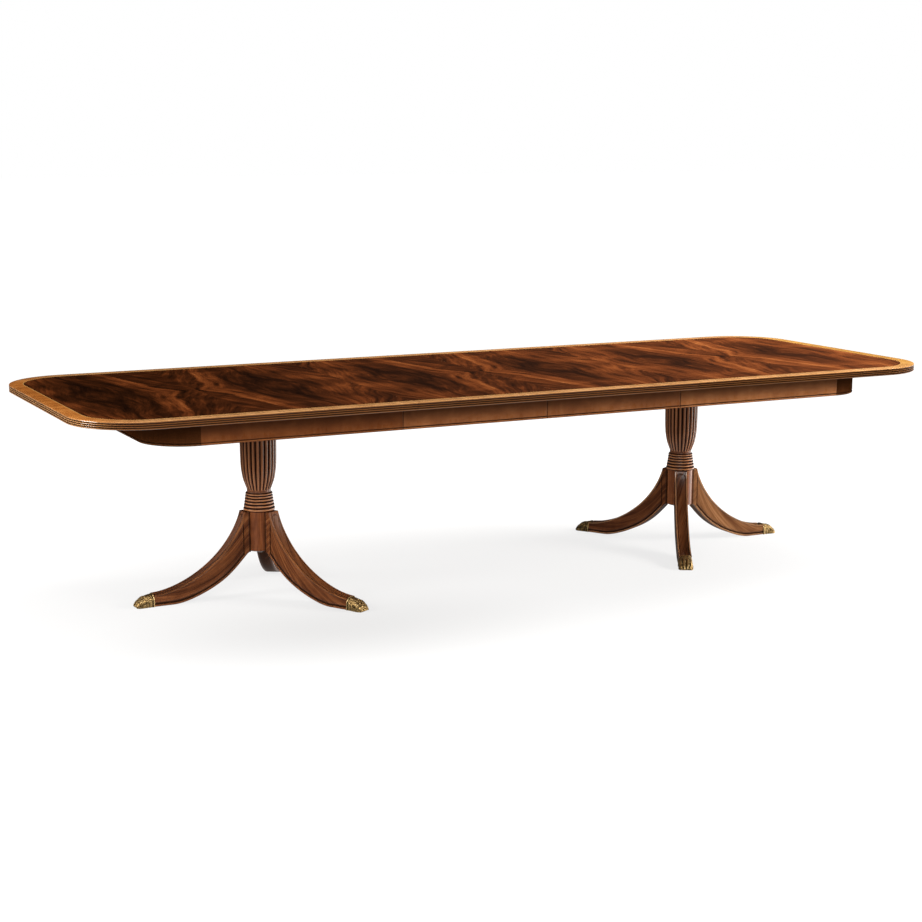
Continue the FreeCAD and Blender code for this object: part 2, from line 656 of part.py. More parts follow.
def hub(side):
    tag = HALF[side]
    b = new_body(tag + "_hub_body")
    sk = sketch_on(b, "XY_Plane", tag + "_hub_round", D.hub_base)
    ring_hole(sk, 0, 0, D.hub_rad)
    pad(b, sk, tag + "_hub_block", D.hub_top - D.hub_base)
    doc.recompute()
    before = b.Shape.Volume
    sk = sketch_on(b, "XY_Plane", tag + "_spigot_round", D.hub_top)
    ring_hole(sk, 0, 0, D.spigot_rad)
    pocket(b, sk, tag + "_spigot_bore", D.spigot_deep + 0.2)
    takes_away(b, before)
    before = b.Shape.Volume
    sk = sketch_on(b, "XY_Plane", tag + "_rod_round", D.hub_base)
    ring_hole(sk, 0, 0, D.rod_bore)
    pocket(b, sk, tag + "_rod_bore", D.hub_top - D.hub_base, flip=True)
    takes_away(b, before)
    before = b.Shape.Volume
    sk = sketch_on(b, "XY_Plane", tag + "_dovetail_outline", D.hub_base)
    c = D.socket_room
    outline(sk, [(D.tongue_in - c, -D.tongue_half_in - c), (D.tongue_out, -D.tongue_half_out - c),
                 (D.tongue_out, D.tongue_half_out + c), (D.tongue_in - c, D.tongue_half_in + c)])
    pk = pocket(b, sk, tag + "_dovetail", D.tongue_top - D.hub_base + 0.2, flip=True)
    takes_away(b, before)
    before = b.Shape.Volume
    pol = b.newObject("PartDesign::PolarPattern", tag + "_dovetails")
    pol.Originals = [pk]
    pol.Axis = (sk, ["N_Axis"])
    pol.Angle = 360
    pol.Occurrences = 3
    b.Tip = pol
    takes_away(b, before)
    at(b, D.pedestal_x * side, 0, 0, 0 if side > 0 else 180)
    return node(tag + "_hub", b)


def leg(side, name, turn):
    tag = HALF[side] + "_leg_" + name
    b = new_body(tag + "_body")
    sk = sketch_on(b, "XZ_Plane", tag + "_outline")
    up = [Vector(r, z, 0) for r, z in LEG_UP]
    low = [Vector(r, z, 0) for r, z in LEG_LOW]
    inner = 42.0
    hub_top, hub_base = D.hub_top.num, D.hub_base.num
    up[0].y = hub_top
    up[-1].x = D.leg_end.num
    a = Part.BSplineCurve()
    a.interpolate(up)
    c = Part.BSplineCurve()
    c.interpolate(low)
    items = [Part.LineSegment(Vector(inner, hub_top, 0), up[0]), a,
             Part.LineSegment(up[-1], Vector(D.leg_end.num, 0, 0)),
             Part.LineSegment(Vector(D.leg_end.num, 0, 0), low[0]), c,
             Part.LineSegment(low[-1], Vector(inner, hub_base, 0)),
             Part.LineSegment(Vector(inner, hub_base, 0), Vector(inner, hub_top, 0))]
    chain(sk, items)
    pin_point(sk, 3, 1, D.leg_end, 0)
    pad(b, sk, tag + "_blank", D.leg_thick, both_ways=True)
    doc.recompute()
    # coped where it stands against the round hub
    before = b.Shape.Volume
    sk = sketch_on(b, "XY_Plane", tag + "_cope_round", D.hub_top + 5)
    ring_hole(sk, 0, 0, D.hub_rad + 0.05)
    pocket(b, sk, tag + "_cope", D.hub_top - D.hub_base + 60)
    takes_away(b, before)
    # dovetail tongue that slides up into the hub
    sk = sketch_on(b, "XY_Plane", tag + "_tongue_outline", D.hub_base)
    outline(sk, [(D.tongue_in, -D.tongue_half_in), (D.tongue_out, -D.tongue_half_out),
                 (D.tongue_out, D.tongue_half_out), (D.tongue_in, D.tongue_half_in)])
    pad(b, sk, tag + "_tongue", D.tongue_top - D.hub_base)
    # reduced end that the brass foot is driven on to
    sk = sketch_on(b, "YZ_Plane", tag + "_shoe_outline", D.leg_end - 2)
    outline(sk, [(-D.shoe_half, D.shoe_low), (D.shoe_half, D.shoe_low), (D.shoe_half, D.shoe_high), (-D.shoe_half, D.shoe_high)])
    pad(b, sk, tag + "_shoe", D.shoe_long + 2)
    at(b, D.pedestal_x * side, 0, 0, turn)
    return node(tag, b)


def paw(side, name, turn):
    tag = HALF[side] + "_paw_" + name
    b = new_body(tag + "_body")
    sk = sketch_on(b, "XZ_Plane", tag + "_outline")
    e, f = D.leg_end, D.foot_reach
    outline(sk, [(e, 0), (f - 3, 0), (f, 6), (f - 4, 15), (f - 17, 26), (f - 40, 37), (e + 8, 43), (e, 43)])
    pad(b, sk, tag + "_casting", D.paw_wide, both_ways=True)
    doc.recompute()
    before = b.Shape.Volume
    sk = sketch_on(b, "YZ_Plane", tag + "_socket_outline", e)
    c = D.socket_room
    outline(sk, [(-D.shoe_half - c, D.shoe_low - c), (D.shoe_half + c, D.shoe_low - c),
                 (D.shoe_half + c, D.shoe_high + c), (-D.shoe_half - c, D.shoe_high + c)])
    pocket(b, sk, tag + "_socket", D.shoe_long + 0.5, flip=True)
    takes_away(b, before)
    return at(b, D.pedestal_x * side, 0, 0, turn)


def pedestal(side):
    tag = HALF[side]
    px = D.pedestal_x * side
    column(side)
    hub(side)
    # legs a third of a turn apart, one towards the table's end
    if side > 0:
        turns = (("end", 0), ("front", -120), ("back", 120))
    else:
        turns = (("end", 180), ("front", -60), ("back", 60))
    paws = []
    screws = []
    shoulder = under - D.bearer_thick
    for name, turn in turns:
        leg(side, name, turn)
        paws.append(paw(side, name, turn))
        ca, sa = math.cos(math.radians(turn)), math.sin(math.radians(turn))
        for k, reach, z0, rise in (("paw", D.leg_end + 12, 0.8, 22.0), ("plate", Size.of(41), D.hub_base.num - D.plate_thick.num, 28.0)):
            x, y = px + reach * ca, reach * sa
            h = rod("%s_%s_%s_head" % (tag, k, name), 3.4, x, y, z0, z0 + 2.4)
            s = rod("%s_%s_%s_shank" % (tag, k, name), 1.9, x, y, z0 + 2.4, z0 + rise)
            screws.append(fuse("%s_%s_%s_screw" % (tag, k, name), [h, s]))
    node(tag + "_paws", group(tag + "_paw_set", paws))
    # bearer with the socket for the column and a sunk seat for the upper nut
    block = box(tag + "_bearer_block", px - D.bearer_wide / 2, px + D.bearer_wide / 2,
                -D.bearer_long / 2, D.bearer_long / 2, shoulder, under)
    bores = fuse(tag + "_bearer_bores", [
        rod(tag + "_bearer_socket", D.tenon_rad, px, 0, shoulder - 1, shoulder + D.tenon_high),
        rod(tag + "_bearer_hole", D.rod_bore, px, 0, shoulder - 1, under + 1),
        rod(tag + "_bearer_sink", D.washer_rad + 2, px, 0, under - D.nut_sink, under + 1)])
    node(tag + "_bearer", cut(tag + "_bearer_bored", block, bores))
    # round plate under the hub keeps the dovetails from dropping out
    disc = rod(tag + "_plate_disc", D.plate_rad, px, 0, D.hub_base - D.plate_thick, D.hub_base)
    holes = [rod(tag + "_plate_bore", D.rod_bore, px, 0, D.hub_base - D.plate_thick - 1, D.hub_base + 1)]
    for name, turn in turns:
        ca, sa = math.cos(math.radians(turn)), math.sin(math.radians(turn))
        holes.append(rod("%s_plate_%s_bore" % (tag, name), 3.5, px + 41 * ca, Size.of(41 * sa),
                         D.hub_base - D.plate_thick - 1, D.hub_base + 1))
    node(tag + "_hub_plate", cut(tag + "_plate_bored", disc, fuse(tag + "_plate_bores", holes)))
    # tie rod with a washer and a nut at each end
    low = D.hub_base - D.plate_thick
    high = under - D.nut_sink
    shaft = rod(tag + "_rod_shaft", D.rod_rad, px, 0, low - D.washer_thick - D.nut_high - 2, high + D.washer_thick + D.nut_high)
    pieces = [shaft]
    for k, zw, zn in (("low", low - D.washer_thick, low - D.washer_thick - D.nut_high),
                      ("high", high, high + D.washer_thick)):
        w = rod("%s_washer_%s_disc" % (tag, k), D.washer_rad, px, 0, zw, zw + D.washer_thick)
        wb = rod("%s_washer_%s_bore" % (tag, k), D.rod_bore, px, 0, zw - 1, zw + D.washer_thick + 1)
        pieces.append(cut("%s_washer_%s" % (tag, k), w, wb))
        n = doc.addObject("Part::Prism", "%s_nut_%s_hex" % (tag, k))
        n.Polygon = 6
        bind(n, "Circumradius", D.nut_rad)
        bind(n, "Height", D.nut_high)
        at(n, px, 0, zn)
        nb = rod("%s_nut_%s_bore" % (tag, k), D.rod_rad + 0.05, px, 0, zn - 1, zn + D.nut_high + 1)
        pieces.append(cut("%s_nut_%s" % (tag, k), n, nb))
    node(tag + "_tie_rod", group(tag + "_rod_set", pieces))
    # wood screws: bearer to top, fixed slide rails to top
    for i, (dx, dy) in enumerate(((-120, -160), (0, -160), (120, -160), (-120, 160), (0, 160), (120, 160))):
        x, y = px + dx, Size.of(dy)
        h = rod("%s_bearer_%d_head" % (tag, i), D.screw_head, x, y, shoulder, shoulder + D.screw_head_high)
        s = rod("%s_bearer_%d_shank" % (tag, i), D.screw_rad, x, y, shoulder + D.screw_head_high, under + 14)
        screws.append(fuse("%s_bearer_%d_screw" % (tag, i), [h, s]))
    web = D.rail_outer - 6.5 if side < 0 else in_face - D.rail_thick + 6.5
    for i, x in enumerate((620, 900, 1180, 1360)):
        for sy in (-1, 1):
            h = rod("%s_slide_%d_%d_head" % (tag, i, sy + 1), D.screw_head, Size.of(x * side), web * sy,
                    rail_low, rail_low + D.screw_head_high)
            s = rod("%s_slide_%d_%d_shank" % (tag, i, sy + 1), D.screw_rad, Size.of(x * side), web * sy,
                    rail_low + D.screw_head_high, under + 14)
            screws.append(fuse("%s_slide_%d_%d_screw" % (tag, i, sy + 1), [h, s]))
    node(tag + "_screws", group(tag + "_screw_set", screws))


# ---------------------------------------------------------------- build
leaf_a0, leaf_a1 = -D.leaf_width + D.seam_gap / 2, -(D.seam_gap / 2)
leaf_b0, leaf_b1 = D.seam_gap / 2, D.leaf_width - D.seam_gap / 2

for side in (-1, 1):
    half_panel(side)
    half_edge(side)
    half_apron(side)
    half_rails(side)
    pedestal(side)
leaf("leaf_a", leaf_a0, leaf_a1)
leaf("leaf_b", leaf_b0, leaf_b1)
carriage()
seam_pins("leaf_a_pins", leaf_a0)
seam_pins("leaf_b_pins", leaf_b0)
seam_pins("right_pins", seam)

# latches: seams 1 and 2 are worked from their left side, seam 3 from its right side
fittings = {"left": [], "leaf_a": [], "leaf_b": [], "right": []}
for number, line, sx, owner, other in ((1, -D.leaf_width, 1, "left", "leaf_a"), (2, Size.of(0), 1, "leaf_a", "leaf_b"),
                                       (3, D.leaf_width, -1, "right", "leaf_b")):
    for place, sy in (("front", -1), ("back", 1)):
        tag = "latch_%d_%s" % (number, place)
        px, kx, y = line - D.latch_back * sx, line + D.latch_back * sx, D.latch_y * sy
        fittings[owner] += latch_base(tag + "_base", px, y, sx)
        fittings[other] += latch_keeper(tag + "_keeper", kx, y, sx)
        latch_lever(tag, px, y, sx, sy)
for owner, pieces in fittings.items():
    node(owner + "_latch_fittings", group(owner + "_latch_set", pieces))

doc.recompute()

# ---------------------------------------------------------------- check and write
bad = [o.Name for o in doc.Objects if "Invalid" in o.State or "Error" in o.State]
if bad:
    raise RuntimeError("failed objects: " + ", ".join(bad))
for name, obj in PARTS.items():
    shp = obj.Shape
    if shp.isNull() or not shp.isValid() or not shp.Solids:
        raise RuntimeError("bad shape: " + name)
    if min(s.Volume for s in shp.Solids) <= 0:
        raise RuntimeError("empty solid: " + name)

os.makedirs("parts", exist_ok=True)
for name, obj in PARTS.items():
    obj.Shape.exportStep("parts/%s.step" % name)
print("%d parts" % len(PARTS))
whole = FreeCAD.BoundBox()
for name, obj in PARTS.items():
    bb = obj.Shape.BoundBox
    whole.add(bb)
    print("%-22s solids %2d  vol %10.0f  x %8.1f %8.1f  y %7.1f %7.1f  z %6.1f %6.1f" % (
        name, len(obj.Shape.Solids), obj.Shape.Volume, bb.XMin, bb.XMax, bb.YMin, bb.YMax, bb.ZMin, bb.ZMax))
print("whole", whole)
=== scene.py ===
import json
import math

import bmesh
import bpy
import numpy as np
from mathutils import Matrix, Vector
from mathutils.geometry import delaunay_2d_cdt

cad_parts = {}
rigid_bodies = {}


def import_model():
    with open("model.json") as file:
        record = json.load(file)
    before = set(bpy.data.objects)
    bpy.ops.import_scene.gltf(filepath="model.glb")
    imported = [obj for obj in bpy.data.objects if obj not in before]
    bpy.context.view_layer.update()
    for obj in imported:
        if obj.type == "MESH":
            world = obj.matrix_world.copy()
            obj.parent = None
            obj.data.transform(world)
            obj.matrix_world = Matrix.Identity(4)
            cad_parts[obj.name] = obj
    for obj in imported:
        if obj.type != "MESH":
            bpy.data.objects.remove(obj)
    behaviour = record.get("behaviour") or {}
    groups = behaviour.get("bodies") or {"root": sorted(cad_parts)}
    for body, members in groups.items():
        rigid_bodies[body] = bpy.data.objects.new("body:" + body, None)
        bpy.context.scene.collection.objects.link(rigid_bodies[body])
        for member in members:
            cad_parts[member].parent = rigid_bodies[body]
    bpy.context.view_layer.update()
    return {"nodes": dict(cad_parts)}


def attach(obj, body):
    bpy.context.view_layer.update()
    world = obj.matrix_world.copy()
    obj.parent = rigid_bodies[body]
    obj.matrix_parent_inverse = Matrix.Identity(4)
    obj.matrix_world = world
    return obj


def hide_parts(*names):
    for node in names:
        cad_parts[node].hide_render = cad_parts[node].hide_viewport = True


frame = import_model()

NODES = frame["nodes"]
MM = 0.001

# ------------------------------------------------------------------ sizes, mm
LONG, WIDE, HIGH, THICK = 3353.0, 1219.0, 750.0, 26.0
HX, HY = LONG / 2, WIDE / 2
UNDER = HIGH - THICK
CORNER = 235.0
LIP = 22.0
SEAM = 559.05                    # seam face of a half
FOLD = (SEAM + HX) / 2           # joint between the two veneer columns of a half
PED_X = 897.0
APRON_LOW = 641.0


# ------------------------------------------------------------------ mesh helper
class Build:
    """Collects vertices, faces, face materials, UVs in metres and a value per vertex for wear and painted light: glaze
    and painted shade in hollows, rubbed polish and painted highlights on crests.
    """

    def __init__(self):
        self.co, self.wear_and_painted_light, self.faces, self.mat, self.uv, self.uv2 = [], [], [], [], [], []

    def add(self, pts, wear_and_painted_light=None):
        first = len(self.co)
        self.co += [tuple(float(c) * MM for c in p) for p in pts]
        self.wear_and_painted_light += [0.0] * len(pts) if wear_and_painted_light is None else [float(w) for w in wear_and_painted_light]
        return list(range(first, first + len(pts)))

    def face(self, idx, uv, mat=0, uv2=(0.0, 0.0)):
        self.faces.append(tuple(idx))
        self.uv.append([(float(u) * MM, float(v) * MM) for u, v in uv])
        self.uv2.append(uv2)
        self.mat.append(mat)

    def loft(self, rings, uv, mat=0, wear_and_painted_light=None, wrap=False):
        """rings is (n, m, 3); uv is (n, m or m + 1, 2); mat is one number or one per strip."""
        rings = np.asarray(rings, float)
        n, m = rings.shape[:2]
        w = np.zeros((n, m)) if wear_and_painted_light is None else np.broadcast_to(np.asarray(wear_and_painted_light, float), (n, m))
        base = self.add(rings.reshape(-1, 3), w.reshape(-1))[0]
        idx = base + np.arange(n * m).reshape(n, m)
        uv = np.asarray(uv, float)
        for i in range(n - 1):
            for j in range(m if wrap else m - 1):
                k = (j + 1) % m
                self.face((idx[i, j], idx[i, k], idx[i + 1, k], idx[i + 1, j]),
                          (uv[i, j], uv[i, j + 1], uv[i + 1, j + 1], uv[i + 1, j]),
                          mat if isinstance(mat, int) else mat[j])
        return idx

    def cap(self, idx, uv, mat=0):
        self.face(list(idx), [uv[i] for i in range(len(idx))], mat)

    def done(self, name, mats, body, replaced, sharp=38.0, turn=None):
        me = bpy.data.meshes.new(name)
        co = np.array(self.co)
        if turn is not None:
            co = co @ np.array(turn).T
        me.from_pydata([tuple(c) for c in co], [], self.faces)
        for m in mats:
            me.materials.append(m)
        me.polygons.foreach_set("material_index", self.mat)
        me.polygons.foreach_set("use_smooth", [True] * len(self.faces))
        lay = me.uv_layers.new(name="UVMap")
        lay.data.foreach_set("uv", [c for f in self.uv for p in f for c in p])
        if any(u != (0.0, 0.0) for u in self.uv2):
            lay2 = me.uv_layers.new(name="Sheet")
            lay2.data.foreach_set("uv", [c for f, u in zip(self.faces, self.uv2) for _ in f for c in u])
        # per-vertex value for wear and painted light together: painted shade in hollows and under the top, painted
        # highlights on crests
        at = me.attributes.new("wear_and_painted_light", "FLOAT", "POINT")
        at.data.foreach_set("value", self.wear_and_painted_light)
        bm = bmesh.new()
        bm.from_mesh(me)
        bmesh.ops.remove_doubles(bm, verts=bm.verts, dist=1e-6)
        bmesh.ops.recalc_face_normals(bm, faces=bm.faces)
        bm.to_mesh(me)
        bm.free()
        me.set_sharp_from_angle(angle=math.radians(sharp))
        me.validate()
        ob = bpy.data.objects.new(name, me)
        bpy.context.scene.collection.objects.link(ob)
        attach(ob, body)
        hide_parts(*replaced)
        return ob


def smooth(x, a, b):
    t = np.clip((np.asarray(x, float) - a) / (b - a), 0, 1)
    return t * t * (3 - 2 * t)


def curve(pts, n):
    """n + 1 points at equal steps along a natural cubic spline through pts."""
    p = np.array(pts, float)
    t = np.concatenate([[0], np.cumsum(np.linalg.norm(np.diff(p, axis=0), axis=1))])
    h = np.diff(t)
    k = len(t)
    a = np.zeros((k, k))
    b = np.zeros((k, 2))
    a[0, 0] = a[-1, -1] = 1
    for i in range(1, k - 1):
        a[i, i - 1], a[i, i], a[i, i + 1] = h[i - 1], 2 * (h[i - 1] + h[i]), h[i]
        b[i] = 6 * ((p[i + 1] - p[i]) / h[i] - (p[i] - p[i - 1]) / h[i - 1])
    m = np.linalg.solve(a, b)

    def at(s):
        i = np.clip(np.searchsorted(t, s, side="right") - 1, 0, k - 2)
        d0, d1 = (s - t[i])[:, None], (t[i + 1] - s)[:, None]
        hi = h[i][:, None]
        return (m[i] * d1 ** 3 + m[i + 1] * d0 ** 3) / (6 * hi) + (p[i] / hi - m[i] * hi / 6) * d1 + (p[i + 1] / hi - m[i + 1] * hi / 6) * d0

    fine = at(np.linspace(0, t[-1], 1200))
    run = np.concatenate([[0], np.cumsum(np.linalg.norm(np.diff(fine, axis=0), axis=1))])
    want = np.linspace(0, run[-1], n + 1)
    return np.stack([np.interp(want, run, fine[:, 0]), np.interp(want, run, fine[:, 1])], 1)


def along(pts):
    p = np.asarray(pts, float)
    return np.concatenate([[0], np.cumsum(np.linalg.norm(np.diff(p, axis=0), axis=1))])


# ------------------------------------------------------------------ materials
class Nodes:
    def __init__(self, name):
        self.mat = bpy.data.materials.new(name)
        self.mat.use_nodes = True
        self.tree = self.mat.node_tree
        self.bsdf = next(n for n in self.tree.nodes if n.type == "BSDF_PRINCIPLED")

    def new(self, kind, **props):
        n = self.tree.nodes.new(kind)
        for k, v in props.items():
            setattr(n, k, v)
        return n

    def link(self, a, b):
        self.tree.links.new(a, b)

    def put(self, socket, value):
        if hasattr(value, "is_linked") and hasattr(value, "node"):
            self.link(value, socket)
        else:
            socket.default_value = value

    def math(self, op, a, b=0.0, c=0.0, clamp=False):
        n = self.new("ShaderNodeMath", operation=op, use_clamp=clamp)
        for s, v in zip(n.inputs, (a, b, c)):
            self.put(s, v)
        return n.outputs[0]

    def range(self, x, a, b, lo=0.0, hi=1.0, kind="SMOOTHSTEP"):
        n = self.new("ShaderNodeMapRange", interpolation_type=kind)
        for s, v in zip(("Value", "From Min", "From Max", "To Min", "To Max"), (x, a, b, lo, hi)):
            self.put(n.inputs[s], v)
        return n.outputs["Result"]

    def combine(self, x, y, z=0.0):
        n = self.new("ShaderNodeCombineXYZ")
        for s, v in zip(n.inputs, (x, y, z)):
            self.put(s, v)
        return n.outputs[0]

    def split(self, vec):
        n = self.new("ShaderNodeSeparateXYZ")
        self.link(vec, n.inputs[0])
        return n.outputs

    def noise(self, vec, scale=1.0, detail=3.0, rough=0.55, distort=0.0, out="Fac"):
        n = self.new("ShaderNodeTexNoise", noise_dimensions="3D")
        self.link(vec, n.inputs["Vector"])
        n.inputs["Scale"].default_value = scale
        n.inputs["Detail"].default_value = detail
        n.inputs["Roughness"].default_value = rough
        n.inputs["Distortion"].default_value = distort
        return n.outputs[out]

    def ramp(self, fac, stops, interp="LINEAR"):
        n = self.new("ShaderNodeValToRGB")
        el = n.color_ramp.elements
        n.color_ramp.interpolation = interp
        while len(el) < len(stops):
            el.new(0.5)
        for e, (p, c) in zip(el, stops):
            e.position = p
            e.color = (c, c, c, 1) if isinstance(c, float) else (c[0], c[1], c[2], 1)
        self.link(fac, n.inputs[0])
        return n.outputs[0]

    def mix(self, fac, a, b, kind="MIX"):
        n = self.new("ShaderNodeMix", data_type="RGBA", blend_type=kind)
        self.put(n.inputs[0], fac)
        for s, v in ((n.inputs[6], a), (n.inputs[7], b)):
            self.put(s, v if hasattr(v, "node") else (v[0], v[1], v[2], 1))
        return n.outputs[2]

    def uv(self, name="UVMap"):
        return self.new("ShaderNodeUVMap", uv_map=name).outputs[0]

    def wear_and_painted_light(self):
        return self.new("ShaderNodeAttribute", attribute_name="wear_and_painted_light", attribute_type="GEOMETRY").outputs["Fac"]

    def bump(self, height, strength, distance):
        n = self.new("ShaderNodeBump")
        n.inputs["Strength"].default_value = strength
        n.inputs["Distance"].default_value = distance
        self.link(height, n.inputs["Height"])
        self.link(n.outputs[0], self.bsdf.inputs["Normal"])

    def set(self, **values):
        for k, v in values.items():
            self.put(self.bsdf.inputs[k.replace("_", " ")], v)


def grained(n, u, v, w, broad=16.0, fine=210.0, stretch=1.0):
    """Streak values: u runs along the grain and v across it, in metres."""
    warp = n.noise(n.combine(n.math("MULTIPLY", u, 3.0), n.math("MULTIPLY", v, 9.0), w), 1.0, 2.0, 0.5)
    v2 = n.math("ADD", v, n.math("MULTIPLY", n.math("SUBTRACT", warp, 0.5), 0.02))
    a = n.noise(n.combine(n.math("MULTIPLY", u, 1.6 * stretch), n.math("MULTIPLY", v2, broad), w), 1.0, 4.0, 0.6, 0.4)
    b = n.noise(n.combine(n.math("MULTIPLY", u, 7.0 * stretch), n.math("MULTIPLY", v2, fine), w), 1.0, 3.0, 0.6)
    c = n.noise(n.combine(n.math("MULTIPLY", u, 28.0 * stretch), n.math("MULTIPLY", v2, fine * 5), w), 1.0, 2.0, 0.5)
    return a, b, c


def worn(n, color, dark=0.86, rub_and_highlight=0.35, rub_and_highlight_color=(0.42, 0.2, 0.085)):
    """Glaze left in the hollows (positive values) and polish rubbed through on the crests (negative); the near-black in
    the hollows is partly painted shade and the paler crests are partly painted highlights.
    """
    w = n.wear_and_painted_light()
    hollow = n.math("MULTIPLY", n.math("MAXIMUM", w, 0.0), dark, clamp=True)
    crest = n.math("MULTIPLY", n.math("MAXIMUM", n.math("MULTIPLY", w, -1.0), 0.0), rub_and_highlight, clamp=True)
    # paler crest colour: rubbed polish and a painted highlight
    color = n.mix(crest, color, rub_and_highlight_color)
    # near-black hollow colour: glaze and painted shade
    return n.mix(hollow, color, (0.012, 0.0045, 0.002)), hollow, crest


def wood(name, dark, mid, light, seed=0.0, swap=False, source="UV", rough=(0.2, 0.34), coat=0.25,
         broad=16.0, fine=210.0, contrast=1.0, glaze_and_shade=0.86, rub_and_highlight=0.35, spec=0.4, axis="Z", coat_rough=0.1, mottle=0.0,
         rub_and_highlight_color=(0.42, 0.2, 0.085), ends=None, pore=0.45, shine=0.0):
    n = Nodes(name)
    if source == "UV":
        s = n.split(n.uv())
        u, v = (s[1], s[0]) if swap else (s[0], s[1])
        w = seed
    else:
        s = n.split(n.new("ShaderNodeTexCoord").outputs["Object"])
        lie = {"X": (0, 1, 2), "Y": (1, 0, 2), "Z": (2, 0, 1)}[axis]
        u, v = s[lie[0]], n.math("ADD", s[lie[1]], n.math("MULTIPLY", s[lie[2]], 0.83))
        w = seed
    a, b, c = grained(n, u, v, w, broad, fine)
    t = n.math("ADD", n.math("MULTIPLY", n.math("SUBTRACT", a, 0.5), 1.5 * contrast),
               n.math("MULTIPLY", n.math("SUBTRACT", b, 0.5), 0.75 * contrast))
    if mottle:
        blot = n.noise(n.combine(n.math("MULTIPLY", u, 22.0), n.math("MULTIPLY", v, 14.0), w), 1.0, 3.0, 0.6, 0.6)
        t = n.math("ADD", t, n.math("MULTIPLY", n.math("SUBTRACT", blot, 0.5), mottle))
    t = n.math("ADD", n.math("ADD", t, n.math("MULTIPLY", n.math("SUBTRACT", c, 0.5), 0.25 * contrast)), 0.5, clamp=True)
    color = n.ramp(t, [(0.0, dark), (0.5, mid), (1.0, light)])
    # paler golden colour and crests round the left end of the top: painted light
    if ends:
        at_end = n.math("MULTIPLY", n.range(u, 0.98, 1.14), n.range(u, 2.0, 2.16, 1.0, 0.0))
        color = n.mix(at_end, color, n.ramp(t, [(0.0, ends[0]), (0.5, ends[1]), (1.0, ends[2])]))
        rub_and_highlight_color = n.mix(at_end, rub_and_highlight_color, ends[3])
    pores = n.range(c, 0.6, 0.72, 0.0, pore)
    color = n.mix(pores, color, [k * 0.35 for k in dark])
    if source == "UV":
        color, hollow, crest = worn(n, color, glaze_and_shade, rub_and_highlight, rub_and_highlight_color)
        r = n.math("ADD", n.range(b, 0.2, 0.8, rough[0], rough[1], "LINEAR"), n.math("MULTIPLY", hollow, 0.25))
        n.set(Specular_IOR_Level=n.range(hollow, 0.15, 0.8, spec, 0.02) if spec > 0.02 else spec)
        n.set(Coat_Weight=n.math("ADD", n.range(hollow, 0.1, 0.7, coat, 0.0), n.math("MULTIPLY", crest, shine), clamp=True) if coat or shine else 0.0)
    else:
        r = n.range(b, 0.2, 0.8, rough[0], rough[1], "LINEAR")
        n.set(Specular_IOR_Level=spec, Coat_Weight=coat)
    n.set(Base_Color=color, Roughness=r)
    n.set(Coat_Roughness=coat_rough)
    n.bump(c, 0.06, 0.0004)
    return n.mat


